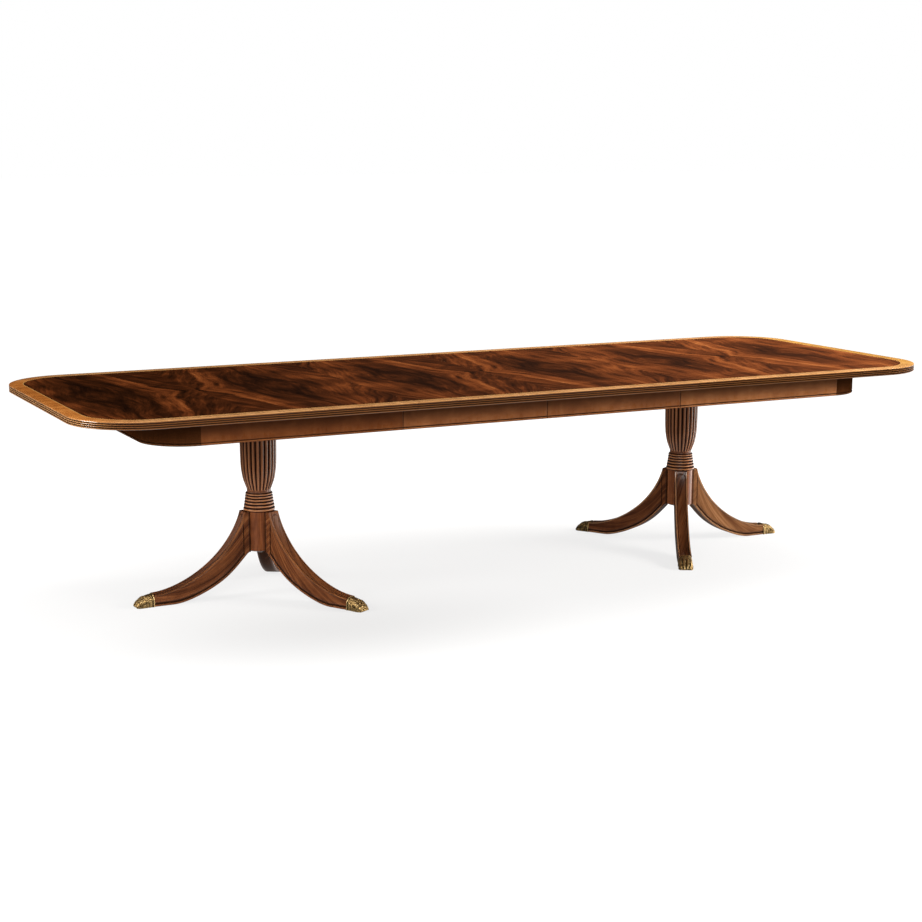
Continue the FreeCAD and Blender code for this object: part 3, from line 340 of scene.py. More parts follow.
def flame_veneer():
    """Crotch mahogany: plumes that flare towards the centre line, four sheets book-matched to a panel."""
    n = Nodes("flame_mahogany_top")
    s = n.split(n.uv())
    a, b = s[0], s[1]
    sh = n.split(n.uv("Sheet"))
    w, tone = sh[0], sh[1]
    # slow swirl of the whole figure
    sw = n.split(n.noise(n.combine(n.math("MULTIPLY", a, 4.2), n.math("MULTIPLY", b, 2.6), w), 1.0, 2.0, 0.45, 0.0, "Color"))
    a1 = n.math("ADD", a, n.math("MULTIPLY", n.math("SUBTRACT", sw[0], 0.5), 0.13))
    b1 = n.math("ADD", b, n.math("MULTIPLY", n.math("SUBTRACT", sw[1], 0.5), 0.12))
    # grain lines close up towards the outer edge and open towards the centre line
    flare = n.math("MAXIMUM", n.math("SUBTRACT", 1.0, n.math("MULTIPLY", b1, 1.05)), 0.3)
    psi = n.math("DIVIDE", n.math("SUBTRACT", a1, 0.24), flare)
    # ragged edges to the broad streaks
    rag = n.noise(n.combine(n.math("MULTIPLY", psi, 11.0), n.math("MULTIPLY", b1, 7.0), w), 1.0, 4.0, 0.6, 0.3)
    psi_b = n.math("ADD", psi, n.math("MULTIPLY", n.math("SUBTRACT", rag, 0.5), 0.16))
    broad = n.ramp(n.range(psi_b, -0.5, 0.5, 0.0, 1.0, "LINEAR"),
                   [(0.0, 0.40), (0.12, 0.46), (0.27, 0.52), (0.38, 0.44), (0.47, 0.33), (0.54, 0.33), (0.63, 0.45), (0.70, 0.56), (0.735, 0.6),
                    (0.765, 0.33), (0.80, 0.40), (0.88, 0.46), (1.0, 0.41)], "EASE")
    # smoky patches
    cloud = n.noise(n.combine(n.math("MULTIPLY", a1, 6.5), n.math("MULTIPLY", b1, 4.6), n.math("ADD", w, 5.0)), 1.0, 4.0, 0.55, 0.7)
    n1 = n.noise(n.combine(n.math("MULTIPLY", psi, 14.0), n.math("MULTIPLY", b1, 2.0), w), 1.0, 5.0, 0.6, 0.25)
    n2 = n.noise(n.combine(n.math("MULTIPLY", psi, 64.0), n.math("MULTIPLY", b1, 3.4), w), 1.0, 4.0, 0.6, 0.15)
    n3 = n.noise(n.combine(n.math("MULTIPLY", psi, 420.0), n.math("MULTIPLY", b1, 11.0), w), 1.0, 3.0, 0.55)
    # feathered wisps that leave the main streaks at a slant
    slant = n.math("ADD", psi, n.math("MULTIPLY", b1, 0.34))
    n4 = n.noise(n.combine(n.math("MULTIPLY", slant, 34.0), n.math("MULTIPLY", b1, 2.6), w), 1.0, 4.0, 0.6, 0.3)
    t = n.math("ADD", broad, tone)
    for src, k in ((cloud, 0.62), (n1, 0.9), (n2, 0.42), (n3, 0.2), (n4, 0.45)):
        t = n.math("ADD", t, n.math("MULTIPLY", n.math("SUBTRACT", src, 0.5), k))
    t = n.math("ADD", n.math("MULTIPLY", n.math("SUBTRACT", t, 0.44), 1.12), 0.43, clamp=True)
    color = n.ramp(t, [(0.0, (0.0075, 0.0021, 0.0007)), (0.22, (0.02, 0.0054, 0.0015)), (0.42, (0.05, 0.0125, 0.0031)),
                       (0.6, (0.112, 0.028, 0.0068)), (0.8, (0.185, 0.051, 0.0125)), (1.0, (0.28, 0.094, 0.026))])
    pores = n.range(n3, 0.6, 0.74, 0.0, 0.4)
    color = n.mix(pores, color, (0.01, 0.0035, 0.0015))
    n.set(Base_Color=color, Roughness=n.range(n2, 0.2, 0.8, 0.14, 0.24, "LINEAR"))
    n.set(Coat_Weight=0.06, Coat_Roughness=0.08, Specular_IOR_Level=0.2)
    n.bump(n3, 0.03, 0.0003)
    return n.mat


def crossband(name, dark, mid, light, joints=0.31, painted_sheen=None):
    """Banding veneer with its grain square to the edge, in lengths butted end to end."""
    n = Nodes(name)
    s = n.split(n.uv())
    u, v = s[0], s[1]
    piece = n.math("FLOOR", n.math("DIVIDE", u, joints))
    wn = n.new("ShaderNodeTexWhiteNoise", noise_dimensions="1D")
    n.link(piece, wn.inputs["W"])
    shift = n.math("MULTIPLY", n.math("SUBTRACT", wn.outputs["Value"], 0.5), 0.2)
    a, b, c = grained(n, v, u, wn.outputs["Value"], 22.0, 330.0)
    curl = n.noise(n.combine(n.math("MULTIPLY", u, 14.0), n.math("MULTIPLY", v, 60.0), 3.0), 1.0, 2.0, 0.5)
    t = n.math("ADD", n.math("MULTIPLY", n.math("SUBTRACT", a, 0.5), 1.1), n.math("MULTIPLY", n.math("SUBTRACT", b, 0.5), 0.7))
    t = n.math("ADD", t, n.math("ADD", shift, n.math("MULTIPLY", n.math("SUBTRACT", curl, 0.5), 0.35)))
    t = n.math("ADD", t, 0.5, clamp=True)
    color = n.ramp(t, [(0.0, dark), (0.5, mid), (1.0, light)])
    if painted_sheen:
        # the long sides are paler than the ends: a painted sheen
        end = n.math("MULTIPLY", n.range(u, 0.85, 1.15), n.range(u, 1.98, 2.28, 1.0, 0.0))
        color = n.mix(end, n.ramp(t, [(0.0, painted_sheen[0]), (0.5, painted_sheen[1]), (1.0, painted_sheen[2])]), color)
    frac = n.math("ABSOLUTE", n.math("SUBTRACT", n.math("FRACT", n.math("DIVIDE", u, joints)), 0.5))
    line = n.range(frac, 0.4982, 0.4996, 0.0, 0.55)
    color = n.mix(line, color, [k * 0.3 for k in dark])
    color, hollow, crest = worn(n, color, 0.8, 0.15, (0.8, 0.5, 0.2))
    n.set(Base_Color=color, Roughness=n.range(b, 0.2, 0.8, 0.16, 0.26, "LINEAR"))
    n.set(Coat_Weight=0.15, Coat_Roughness=0.08, Specular_IOR_Level=0.3)
    n.bump(c, 0.03, 0.0003)
    return n.mat


def metal(name, dark, mid, light, rough=(0.28, 0.5), patina=(0.05, 0.035, 0.018), scale=90.0, source="Object", patina_amount=0.9):
    n = Nodes(name)
    co = n.new("ShaderNodeTexCoord").outputs[source]
    a = n.noise(co, scale, 4.0, 0.6)
    b = n.noise(co, scale * 5, 3.0, 0.6)
    t = n.math("ADD", n.math("MULTIPLY", n.math("SUBTRACT", a, 0.5), 1.6), n.math("MULTIPLY", n.math("SUBTRACT", b, 0.5), 0.6))
    color = n.ramp(n.math("ADD", t, 0.5, clamp=True), [(0.0, dark), (0.5, mid), (1.0, light)])
    w = n.wear_and_painted_light()
    hollow = n.math("MULTIPLY", n.math("MAXIMUM", w, 0.0), patina_amount, clamp=True)
    crest = n.math("MULTIPLY", n.math("MAXIMUM", n.math("MULTIPLY", w, -1.0), 0.0), 0.8, clamp=True)
    color = n.mix(crest, color, [min(1.0, k * 1.35) for k in light])
    color = n.mix(hollow, color, patina)
    r = n.math("ADD", n.range(b, 0.2, 0.8, rough[0], rough[1], "LINEAR"), n.math("MULTIPLY", hollow, 0.3))
    n.set(Base_Color=color, Roughness=r)
    n.set(Metallic=1.0)
    n.bump(b, 0.12, 0.0005)
    return n.mat


FIELD = flame_veneer()
BAND = crossband("satinwood_crossband", (0.14, 0.039, 0.0072), (0.37, 0.122, 0.0228), (0.58, 0.245, 0.061), painted_sheen=((0.23, 0.098, 0.032), (0.36, 0.178, 0.067), (0.48, 0.262, 0.115)))
# paler copy of the banding for the right half: painted light
BAND_PAINTED_LIT = crossband("satinwood_crossband_painted_lit", (0.19, 0.088, 0.018), (0.34, 0.168, 0.036), (0.48, 0.265, 0.072), painted_sheen=((0.23, 0.098, 0.032), (0.36, 0.178, 0.067), (0.48, 0.262, 0.115)))
STRING_LIGHT = crossband("boxwood_string", (0.36, 0.17, 0.048), (0.46, 0.24, 0.075), (0.56, 0.33, 0.12), 0.9)
STRING_DARK = crossband("ebony_string", (0.006, 0.003, 0.002), (0.014, 0.007, 0.004), (0.03, 0.014, 0.007), 0.9)
EDGE = wood("mahogany_edge", (0.026, 0.0078, 0.0018), (0.06, 0.0192, 0.0046), (0.115, 0.042, 0.0115), 1.7, glaze_and_shade=0.985, rub_and_highlight=0.65, spec=0.5, coat=0.3,
            rough=(0.09, 0.17), coat_rough=0.06, rub_and_highlight_color=(0.19, 0.078, 0.0255),
            ends=((0.1, 0.034, 0.0085), (0.23, 0.096, 0.029), (0.36, 0.17, 0.058), (0.45, 0.245, 0.1)))
# darker, duller copy of the edge for the right half: its darker colour is painted shade
EDGE_PAINTED_SHADE = wood("mahogany_edge_painted_shade", (0.022, 0.0062, 0.0014), (0.05, 0.0152, 0.0035), (0.1, 0.035, 0.009), 1.3, glaze_and_shade=0.985, rub_and_highlight=0.65, spec=0.1, coat=0.0,
              rough=(0.16, 0.26), rub_and_highlight_color=(0.17, 0.074, 0.025))
APRON = wood("mahogany_apron", (0.094, 0.0305, 0.0092), (0.158, 0.0545, 0.0178), (0.24, 0.09, 0.0315), 5.1, swap=True, broad=9.0, fine=60.0, contrast=0.3, spec=0.06,
             coat=0.0, glaze_and_shade=0.9, mottle=0.9, pore=0.12)
# paler copy for the right front and left back rails: painted light
APRON_PAINTED_LIT = wood("mahogany_apron_light", (0.125, 0.042, 0.0128), (0.205, 0.0745, 0.0245), (0.3, 0.12, 0.0425), 5.5, swap=True, broad=9.0, fine=60.0, contrast=0.3, spec=0.06,
               coat=0.0, glaze_and_shade=0.93, mottle=0.9, pore=0.12)
# darker copy for the left front and right back rails: painted shade
APRON_PAINTED_SHADE = wood("mahogany_apron_deep", (0.061, 0.0168, 0.0044), (0.107, 0.0322, 0.0088), (0.16, 0.0535, 0.0155), 5.9, swap=True, broad=9.0, fine=60.0, contrast=0.3,
                  spec=0.05, coat=0.0, glaze_and_shade=0.76, mottle=0.9, pore=0.12)
# very dark corner pieces: partly a darker stain, partly painted shade
CORNERS = wood("mahogany_corner", (0.023, 0.0072, 0.002), (0.0375, 0.012, 0.0036), (0.061, 0.0203, 0.0063), 8.3, swap=True, broad=12.0, fine=120.0, contrast=0.4,
               spec=0.0, coat=0.0, mottle=0.6, rough=(0.4, 0.55))
# near-black end rails: painted shade under the overhang of the top's ends
ENDS_PAINTED_SHADE = wood("mahogany_end_rail_painted_shade", (0.019, 0.0052, 0.0013), (0.031, 0.0087, 0.0022), (0.047, 0.014, 0.0037), 7.4, swap=True, broad=12.0, fine=120.0, contrast=0.4,
            spec=0.0, coat=0.0, mottle=0.6, rough=(0.4, 0.55))
PEDESTAL = wood("mahogany_pedestal", (0.03, 0.0074, 0.0018), (0.086, 0.0248, 0.0067), (0.168, 0.0555, 0.017), 2.9, glaze_and_shade=0.985, rub_and_highlight=0.4, rough=(0.16, 0.28), spec=0.32, coat=0.14, shine=1.0,
                broad=42.0, contrast=1.8, mottle=0.5, rub_and_highlight_color=(0.3, 0.135, 0.053))
# darker copy for the right pedestal's front and back legs: painted shade, with strong painted highlights on the crests
PEDESTAL_PAINTED_SHADE = wood("mahogany_pedestal_painted_shade", (0.0165, 0.0038, 0.0009), (0.052, 0.0142, 0.0037), (0.108, 0.034, 0.01), 2.3, glaze_and_shade=0.985, rub_and_highlight=1.1, rough=(0.16, 0.28),
                     spec=0.2, coat=0.06, shine=1.0, broad=42.0, contrast=1.8, mottle=0.5, rub_and_highlight_color=(0.36, 0.19, 0.09))
# paler copy for the right pedestal's end leg: painted light
PEDESTAL_PAINTED_LIT = wood("mahogany_pedestal_painted_lit", (0.075, 0.026, 0.0085), (0.142, 0.057, 0.02), (0.23, 0.104, 0.041), 3.1, glaze_and_shade=0.985, rub_and_highlight=0.6, rough=(0.16, 0.28),
                     spec=0.36, coat=0.16, shine=1.0, broad=42.0, contrast=2.0, mottle=0.5, rub_and_highlight_color=(0.46, 0.27, 0.14))
COLUMN = wood("mahogany_column", (0.055, 0.014, 0.0036), (0.142, 0.043, 0.012), (0.255, 0.089, 0.0285), 3.7, glaze_and_shade=0.99, rub_and_highlight=0.75, rough=(0.14, 0.24), spec=0.45, coat=0.2, shine=0.5,
              broad=42.0, contrast=1.1, mottle=0.4, rub_and_highlight_color=(0.38, 0.165, 0.063))
HUB = wood("mahogany_hub", (0.05, 0.0122, 0.0029), (0.14, 0.0395, 0.0102), (0.255, 0.085, 0.025), 4.4, source="OBJECT", axis="Z", rough=(0.16, 0.28), spec=0.36, coat=0.2,
           broad=42.0, contrast=1.7, mottle=0.6)
BACKING = wood("backing_veneer", (0.06, 0.025, 0.011), (0.13, 0.06, 0.028), (0.21, 0.105, 0.05), 6.6, rough=(0.5, 0.65), coat=0.0)
CORE = wood("top_core", (0.13, 0.06, 0.026), (0.24, 0.125, 0.06), (0.34, 0.19, 0.1), 9.2, rough=(0.5, 0.68), coat=0.0, swap=True)
INNER = wood("hardwood_inner", (0.21, 0.115, 0.052), (0.36, 0.215, 0.108), (0.47, 0.3, 0.165), 3.3, source="OBJECT", axis="X",
             rough=(0.45, 0.6), coat=0.0)
BRASS = metal("antique_brass", (0.19, 0.114, 0.041), (0.365, 0.238, 0.095), (0.6, 0.43, 0.212), (0.28, 0.46), patina=(0.011, 0.007, 0.0035))
LATCH = metal("latch_brass", (0.42, 0.27, 0.09), (0.6, 0.41, 0.15), (0.74, 0.54, 0.23), (0.2, 0.36))
STEEL = metal("steel_fixings", (0.2, 0.2, 0.2), (0.36, 0.355, 0.35), (0.5, 0.49, 0.48), (0.3, 0.5))

TOP_MATS = [BAND, STRING_LIGHT, STRING_DARK, FIELD, BACKING, CORE]

# ------------------------------------------------------------------ top


def outline(d, steps=26):
    """Edge of the right half, d inside its outer edge, from the front of the seam round to the back.
    Rows are x, y, run along the edge (the same for every d)."""
    rad = CORNER - d
    cx, cy = HX - CORNER, HY - CORNER
    rows, run = [], 0.0
    ref = CORNER - 36.0
    for x in (SEAM, FOLD, cx):
        rows.append((x, -(HY - d), x - SEAM))
    run = cx - SEAM
    for i in range(1, steps + 1):
        a = -math.pi / 2 + math.pi / 2 * i / steps
        rows.append((cx + rad * math.cos(a), -cy + rad * math.sin(a), run + ref * math.pi / 2 * i / steps))
    run += ref * math.pi / 2
    for y in (0.0, cy):
        rows.append((HX - d, y, run + y + cy))
    run += 2 * cy
    for i in range(1, steps + 1):
        a = math.pi / 2 * i / steps
        rows.append((cx + rad * math.cos(a), cy + rad * math.sin(a), run + ref * a))
    run += ref * math.pi / 2
    for x in (FOLD, SEAM):
        rows.append((x, HY - d, run + cx - x))
    return np.array(rows)


BAND_IN, LINE_IN, FIELD_IN = 48.0, 51.4, 52.6
SHEETS = {}       # veneer sheet -> figure shift and tone, so that no two sheets are quite alike; the tone also carries painted light


def sheet_uv(x, y, x0, x1, odd):
    """Folded place on a veneer sheet: distance from the panel's outer end, and from the centre line."""
    a = (x - x0) if not odd else (x1 - x) - 46.0
    return a, abs(y)


def sheet_mark(col, row):
    """Each consecutive cut of the flitch drifts a little in figure and in tone, and the tone rises towards the right
    end of the table as painted light.
    """
    return (0.9 + 0.055 * col + 0.03 * row, -0.055 + 0.03 * col - 0.012 * row)


def lip_section():
    """Outward distance, height and wear-and-light value round the moulded edge, from the inner underside round to the
    inner top. The gaps between the reeds are darkened as painted shade, and the reed crests and the arris are
    lightened, partly as painted highlights.
    """
    pts = [(0.0, UNDER, 0.0), (15.6, UNDER, 0.4)]
    for k in range(3):
        zc = UNDER + 3.1 + 6.75 * k
        for i in range(15):
            a = -math.pi / 2 + math.pi * i / 14
            # reed ends at the gaps darkened as painted shade, middle of each crest lightened as a painted highlight
            pts.append((17.0 + 4.95 * math.cos(a), zc + 2.2 * math.sin(a),
                        1.0 if i in (0, 14) else (0.8 if i in (1, 13) else (0.3 if i in (2, 12) else (-0.7 if 5 <= i <= 9 else 0.0)))))
        pts += [(15.0, zc + 2.3, 1.0), (15.0, zc + 2.3 + (2.15 if k < 2 else 2.4), 1.0)]
    z = UNDER + 3.1 + 13.5 + 4.75
    # the quirk under the top list darkened as painted shade, the list and arris lightened as painted highlights
    pts += [(19.6, z, 1.0), (21.2, z + 0.1, 0.5), (21.75, z + 0.5, -0.3), (21.75, HIGH - 0.8, -0.6), (21.2, HIGH - 0.22, -0.5), (20.3, HIGH, -0.15),
            (0.0, HIGH, 0.0)]
    return np.array(pts)


def lip(b, path, sec, turn):
    """Sweeps the moulded edge along rows of x, y, run, nx, ny, where n points outward."""
    n, m = len(path), len(sec)
    rings = np.zeros((n, m, 3))
    uv = np.zeros((n, m + 1, 2))
    girth = along(sec[:, :2])
    top0 = m - 4              # from the arris inward the section is banding
    wear_and_painted_light = np.tile(sec[:, 2], (n, 1))
    for i, (x, y, run, nx, ny, *ease) in enumerate(path):
        out = sec[:, 0].copy()
        if ease and ease[0] > 0:
            face = (sec[:, 0] > 12) & (np.arange(m) < top0)
            out[face] -= ease[0]
            wear_and_painted_light[i, face] = 1.0
        rings[i, :, 0] = x + nx * out
        rings[i, :, 1] = y + ny * out
        rings[i, :, 2] = sec[:, 1]
        uv[i, :m, 0] = run
        uv[i, :m, 1] = girth
        uv[i, top0:m, 1] = LIP - sec[top0:, 0]
        uv[i, m] = (run, girth[-1] + THICK)
    mats = [0 if j < top0 else 1 for j in range(m)]
    idx = b.loft(rings, uv, mats, wear_and_painted_light, wrap=True)
    ends = [(sec[j, 0], sec[j, 1]) for j in range(m)]
    b.cap(idx[0], ends, 0)
    b.cap(idx[-1][::-1], ends[::-1], 0)


def half_path(d):
    rows = outline(d)
    out = []
    cx, cy = HX - CORNER, HY - CORNER
    for x, y, run in rows:
        if x <= cx + 1e-6:
            nx, ny = 0.0, math.copysign(1.0, y)
        elif abs(y) <= cy + 1e-6:
            nx, ny = 1.0, 0.0
        else:
            v = Vector((x - cx, y - math.copysign(cy, y)))
            v.normalize()
            nx, ny = v
        out.append((x, y, run, nx, ny))
    f, l = out[0], out[-1]
    head = [(*f, 0.8)] + [(f[0] + k, f[1], f[2] + k, f[3], f[4]) for k in (1.3, 3.0)]
    tail = [(l[0] + k, l[1], l[2] - k, l[3], l[4]) for k in (3.0, 1.3)] + [(*l, 0.8)]
    return head + out[1:-1] + tail


def seam_face(b, ys_top, flat, x, hole_rows, hole_rad, depth, into, mat_face, y_edge):
    """Upright seam face of a panel at x, between the underside and the top, with blind pin holes."""
    border = [(y, HIGH) for y in ys_top] + [(y_edge, UNDER), (-y_edge, UNDER)] if ys_top[0] < ys_top[-1] else None
    seg = 20
    pts = [Vector(p) for p in border]
    edges = [(i, (i + 1) % len(border)) for i in range(len(border))]
    circles = []
    for y in hole_rows:
        first = len(pts)
        ring = [(y + hole_rad * math.cos(2 * math.pi * i / seg), 737.0 + hole_rad * math.sin(2 * math.pi * i / seg)) for i in range(seg)]
        pts += [Vector(p) for p in ring]
        edges += [(first + i, first + (i + 1) % seg) for i in range(seg)]
        circles.append((y, ring, first))
    vo, _, fo, *_ = delaunay_2d_cdt(pts, edges, [], 1, 1e-6)
    base = b.add([(x, v.x, v.y) for v in vo])
    for f in fo:
        c = sum((vo[i] for i in f), Vector((0, 0))) / len(f)
        if any((c - Vector((y, 737.0))).length < hole_rad * 0.98 for y, _, _ in circles):
            continue
        b.face([base[i] for i in f], [(vo[i].x, vo[i].y) for i in f], mat_face)
    for y, ring, _ in circles:
        rings = np.array([[(x, p[0], p[1]) for p in ring], [(x + into * depth, p[0], p[1]) for p in ring]])
        uv = np.zeros((2, seg + 1, 2))
        uv[:, :, 0] = np.arange(seg + 1) * 2 * math.pi * hole_rad / seg
        uv[1, :, 1] = depth
        idx = b.loft(rings, uv, mat_face, wrap=True)
        b.cap(idx[1], [(p[0], p[1]) for p in ring], mat_face)


def half_panel(name, side):
    """Veneered panel of one half; side is +1 for the right half and -1 for the left, which is the same turned half round."""
    b = Build()
    turn = side

    def rows(d):
        return outline(d)

    edges = [(LIP, 0), (BAND_IN, 1), (LINE_IN, 2), (FIELD_IN, None)]
    loops = {}
    for d, _ in edges:
        loops[d] = b.add([(x, y, HIGH) for x, y, _ in rows(d)])
    for (d0, m), (d1, _) in zip(edges[:-1], edges[1:]):
        r0, r1 = rows(d0), rows(d1)
        for i in range(len(r0) - 1):
            b.face((loops[d0][i], loops[d0][i + 1], loops[d1][i + 1], loops[d1][i]),
                   ((r0[i, 2], d0), (r0[i + 1, 2], d0), (r1[i + 1, 2], d1), (r1[i, 2], d1)), m)
    # field: two columns and two rows of veneer sheets
    rf = rows(FIELD_IN)
    lf = loops[FIELD_IN]
    n = len(rf)
    mid = next(i for i in range(n) if abs(rf[i, 1]) < 1e-6)
    far = n - 2
    c_seam, c_fold = b.add([(SEAM, 0.0, HIGH), (FOLD, 0.0, HIGH)])
    quads = {
        ("seam", -1): [lf[0], lf[1], c_fold, c_seam],
        ("end", -1): [lf[i] for i in range(1, mid + 1)] + [c_fold],
        ("end", 1): [lf[i] for i in range(mid, far + 1)] + [c_fold],
        ("seam", 1): [lf[far], lf[n - 1], c_seam, c_fold],
    }
    for (place, row), loop in quads.items():
        y_row = row * turn
        if turn > 0:
            col = 4 if place == "seam" else 5
        else:
            col = 1 if place == "seam" else 0
        uv = []
        for i in loop:
            x, y = b.co[i][0] / MM * turn, b.co[i][1] / MM * turn
            x0, x1 = {0: (-HX, -FOLD), 1: (-FOLD, -SEAM), 4: (SEAM, FOLD), 5: (FOLD, HX)}[col]
            uv.append(sheet_uv(x, y, x0, x1, col % 2))
        b.face(loop, uv, 3, sheet_mark(col, 0 if y_row < 0 else 1))
    # underside and the wall inside the moulded edge
    ro = rows(LIP)
    low = b.add([(x, y, UNDER) for x, y, _ in ro])
    b.face(low[::-1], [(x, y) for x, y, _ in ro[::-1]], 4)
    for i in range(len(ro) - 1):
        b.face((loops[LIP][i], low[i], low[i + 1], loops[LIP][i + 1]),
               ((ro[i, 2], 0), (ro[i, 2], THICK), (ro[i + 1, 2], THICK), (ro[i + 1, 2], 0)), 5)
    ys = [-(HY - d) for d, _ in edges] + [0.0] + [HY - d for d, _ in edges[::-1]]
    pins = [-450.0, -150.0, 150.0, 450.0]
    if side > 0:
        seam_face(b, ys, HIGH, SEAM, pins, 5.0, 16.0, 1, 5, HY - LIP)
    else:
        seam_face(b, ys, HIGH, SEAM, pins, 5.3, 15.0, 1, 5, HY - LIP)
    spin = Matrix.Identity(3) if side > 0 else Matrix.Rotation(math.pi, 3, "Z")
    tag = "right" if side > 0 else "left"
    b.done(tag + "_top_veneer", ([BAND_PAINTED_LIT] if side > 0 else [BAND]) + TOP_MATS[1:], tag + "_half", [tag + "_top_panel"],
           30.0, spin)
    e = Build()
    lip(e, half_path(LIP), lip_section(), spin)
    e.done(tag + "_edge_moulding", [EDGE_PAINTED_SHADE, BAND_PAINTED_LIT] if side > 0 else [EDGE, BAND], tag + "_half", [tag + "_top_edge"], 60.0, spin)


def leaf_panel(name, x0, x1, col):
    b = Build()
    edges = [(LIP, 0), (BAND_IN, 1), (LINE_IN, 2), (FIELD_IN, None)]
    marks = {}
    for d, _ in edges:
        marks[d] = b.add([(x0, -(HY - d), HIGH), (x1, -(HY - d), HIGH), (x0, HY - d, HIGH), (x1, HY - d, HIGH)])
    for (d0, m), (d1, _) in zip(edges[:-1], edges[1:]):
        for k in (0, 2):
            p, q = marks[d0], marks[d1]
            b.face((p[k], p[k + 1], q[k + 1], q[k]), ((x0 - 4000 + k * 900, d0), (x1 - 4000 + k * 900, d0), (x1 - 4000 + k * 900, d1), (x0 - 4000 + k * 900, d1)), m)
    c0, c1 = b.add([(x0, 0.0, HIGH), (x1, 0.0, HIGH)])
    q = marks[FIELD_IN]
    for loop, row in (([q[0], q[1], c1, c0], 0), ([c0, c1, q[3], q[2]], 1)):
        uv = [sheet_uv(b.co[i][0] / MM, b.co[i][1] / MM, x0, x1, col % 2) for i in loop]
        b.face(loop, uv, 3, sheet_mark(col, row))
    o = marks[LIP]
    low = b.add([(x0, -(HY - LIP), UNDER), (x1, -(HY - LIP), UNDER), (x0, HY - LIP, UNDER), (x1, HY - LIP, UNDER)])
    b.face((low[0], low[2], low[3], low[1]), ((x0, -HY), (x0, HY), (x1, HY), (x1, -HY)), 4)
    for k in (0, 2):
        b.face((o[k], o[k + 1], low[k + 1], low[k]), ((x0, 0), (x1, 0), (x1, THICK), (x0, THICK)), 5)
    ys = [-(HY - d) for d, _ in edges] + [0.0] + [HY - d for d, _ in edges[::-1]]
    pins = [-450.0, -150.0, 150.0, 450.0]
    seam_face(b, ys, HIGH, x0, pins, 5.0, 16.0, 1, 5, HY - LIP)
    seam_face(b, ys, HIGH, x1, pins, 5.3, 15.0, -1, 5, HY - LIP)
    b.done(name + "_veneer", TOP_MATS, name, [name + "_panel"], 30.0)
    e = Build()
    for sgn in (-1, 1):
        path = [(x, sgn * (HY - LIP), x - 4000 + (0 if sgn < 0 else 1800), 0.0, float(sgn), e)
                for x, e in ((x0, 0.8), (x0 + 1.3, 0.0), (x0 + 3.0, 0.0), (x1 - 3.0, 0.0), (x1 - 1.3, 0.0), (x1, 0.8))]
        lip(e, path, lip_section(), None)
    e.done(name + "_edge_moulding", [EDGE, BAND], name, [name + "_edges"], 60.0)


half_panel("left", -1)
half_panel("right", 1)
leaf_panel("leaf_a", -558.95, -0.05, 2)
leaf_panel("leaf_b", 0.05, 558.95, 3)

# ------------------------------------------------------------------ aprons


def apron_section():
    """Depth from the inner face, height and wear-and-light value, from the inner underside round to the inner top. The
    quirks of the bead at the foot are darkened and its crest lightened, and up the outer face the value climbs to paint
    the shade under the top's overhang.
    """
    return np.array([
        (0.0, 641.4, 0.2), (0.4, 641.0, 0.3), (15.0, 641.0, 0.9), (17.2, 641.3, 0.9), (18.9, 642.2, 0.6), (19.8, 643.6, 0.0), (20.0, 645.2, -0.4),
        (19.7, 646.8, -0.3), (18.8, 647.8, 0.7), (17.2, 648.2, 1.0), (17.2, 650.6, 1.0), (18.9, 651.2, 0.6), (19.45, 652.2, 0.0),
        # painted shade: darker towards the top of the face, under the overhang
        (19.45, 660.0, 0.04), (19.45, 668.0, 0.14), (19.45, 678.0, 0.3), (19.45, 690.0, 0.5), (19.45, 702.0, 0.68), (19.45, 712.0, 0.8), (19.45, 719.0, 0.88), (19.45, 724.0, 0.97),
        (0.0, 724.0, 0.0)])


def apron(b, path, mat_in=1):
    """Sweeps the apron along rows of x, y (inner face), run, nx, ny and, where an end meets a seam, how far it is eased."""
    sec = apron_section()
    n, m = len(path), len(sec)
    rings = np.zeros((n, m, 3))
    uv = np.zeros((n, m + 1, 2))
    girth = along(sec[:, :2])
    wear_and_painted_light = np.tile(sec[:, 2], (n, 1))
    for i, (x, y, run, nx, ny, *ease) in enumerate(path):
        out = sec[:, 0].copy()
        if ease and ease[0] > 0:
            face = sec[:, 0] > 14
            out[face] -= ease[0]
            wear_and_painted_light[i, face] = 1.0
        rings[i, :, 0] = x + nx * out
        rings[i, :, 1] = y + ny * out
        rings[i, :, 2] = sec[:, 1]
        uv[i, :m, 0] = run
        uv[i, :m, 1] = girth
        uv[i, m] = (run, girth[-1] + 83.0)
    mats = [0] * (m - 2) + [mat_in, mat_in]
    idx = b.loft(rings, uv, mats, wear_and_painted_light, wrap=True)
    flat = [(sec[j, 0], sec[j, 1]) for j in range(m)]
    b.cap(idx[0], flat, mat_in)
    b.cap(idx[-1][::-1], flat[::-1], mat_in)


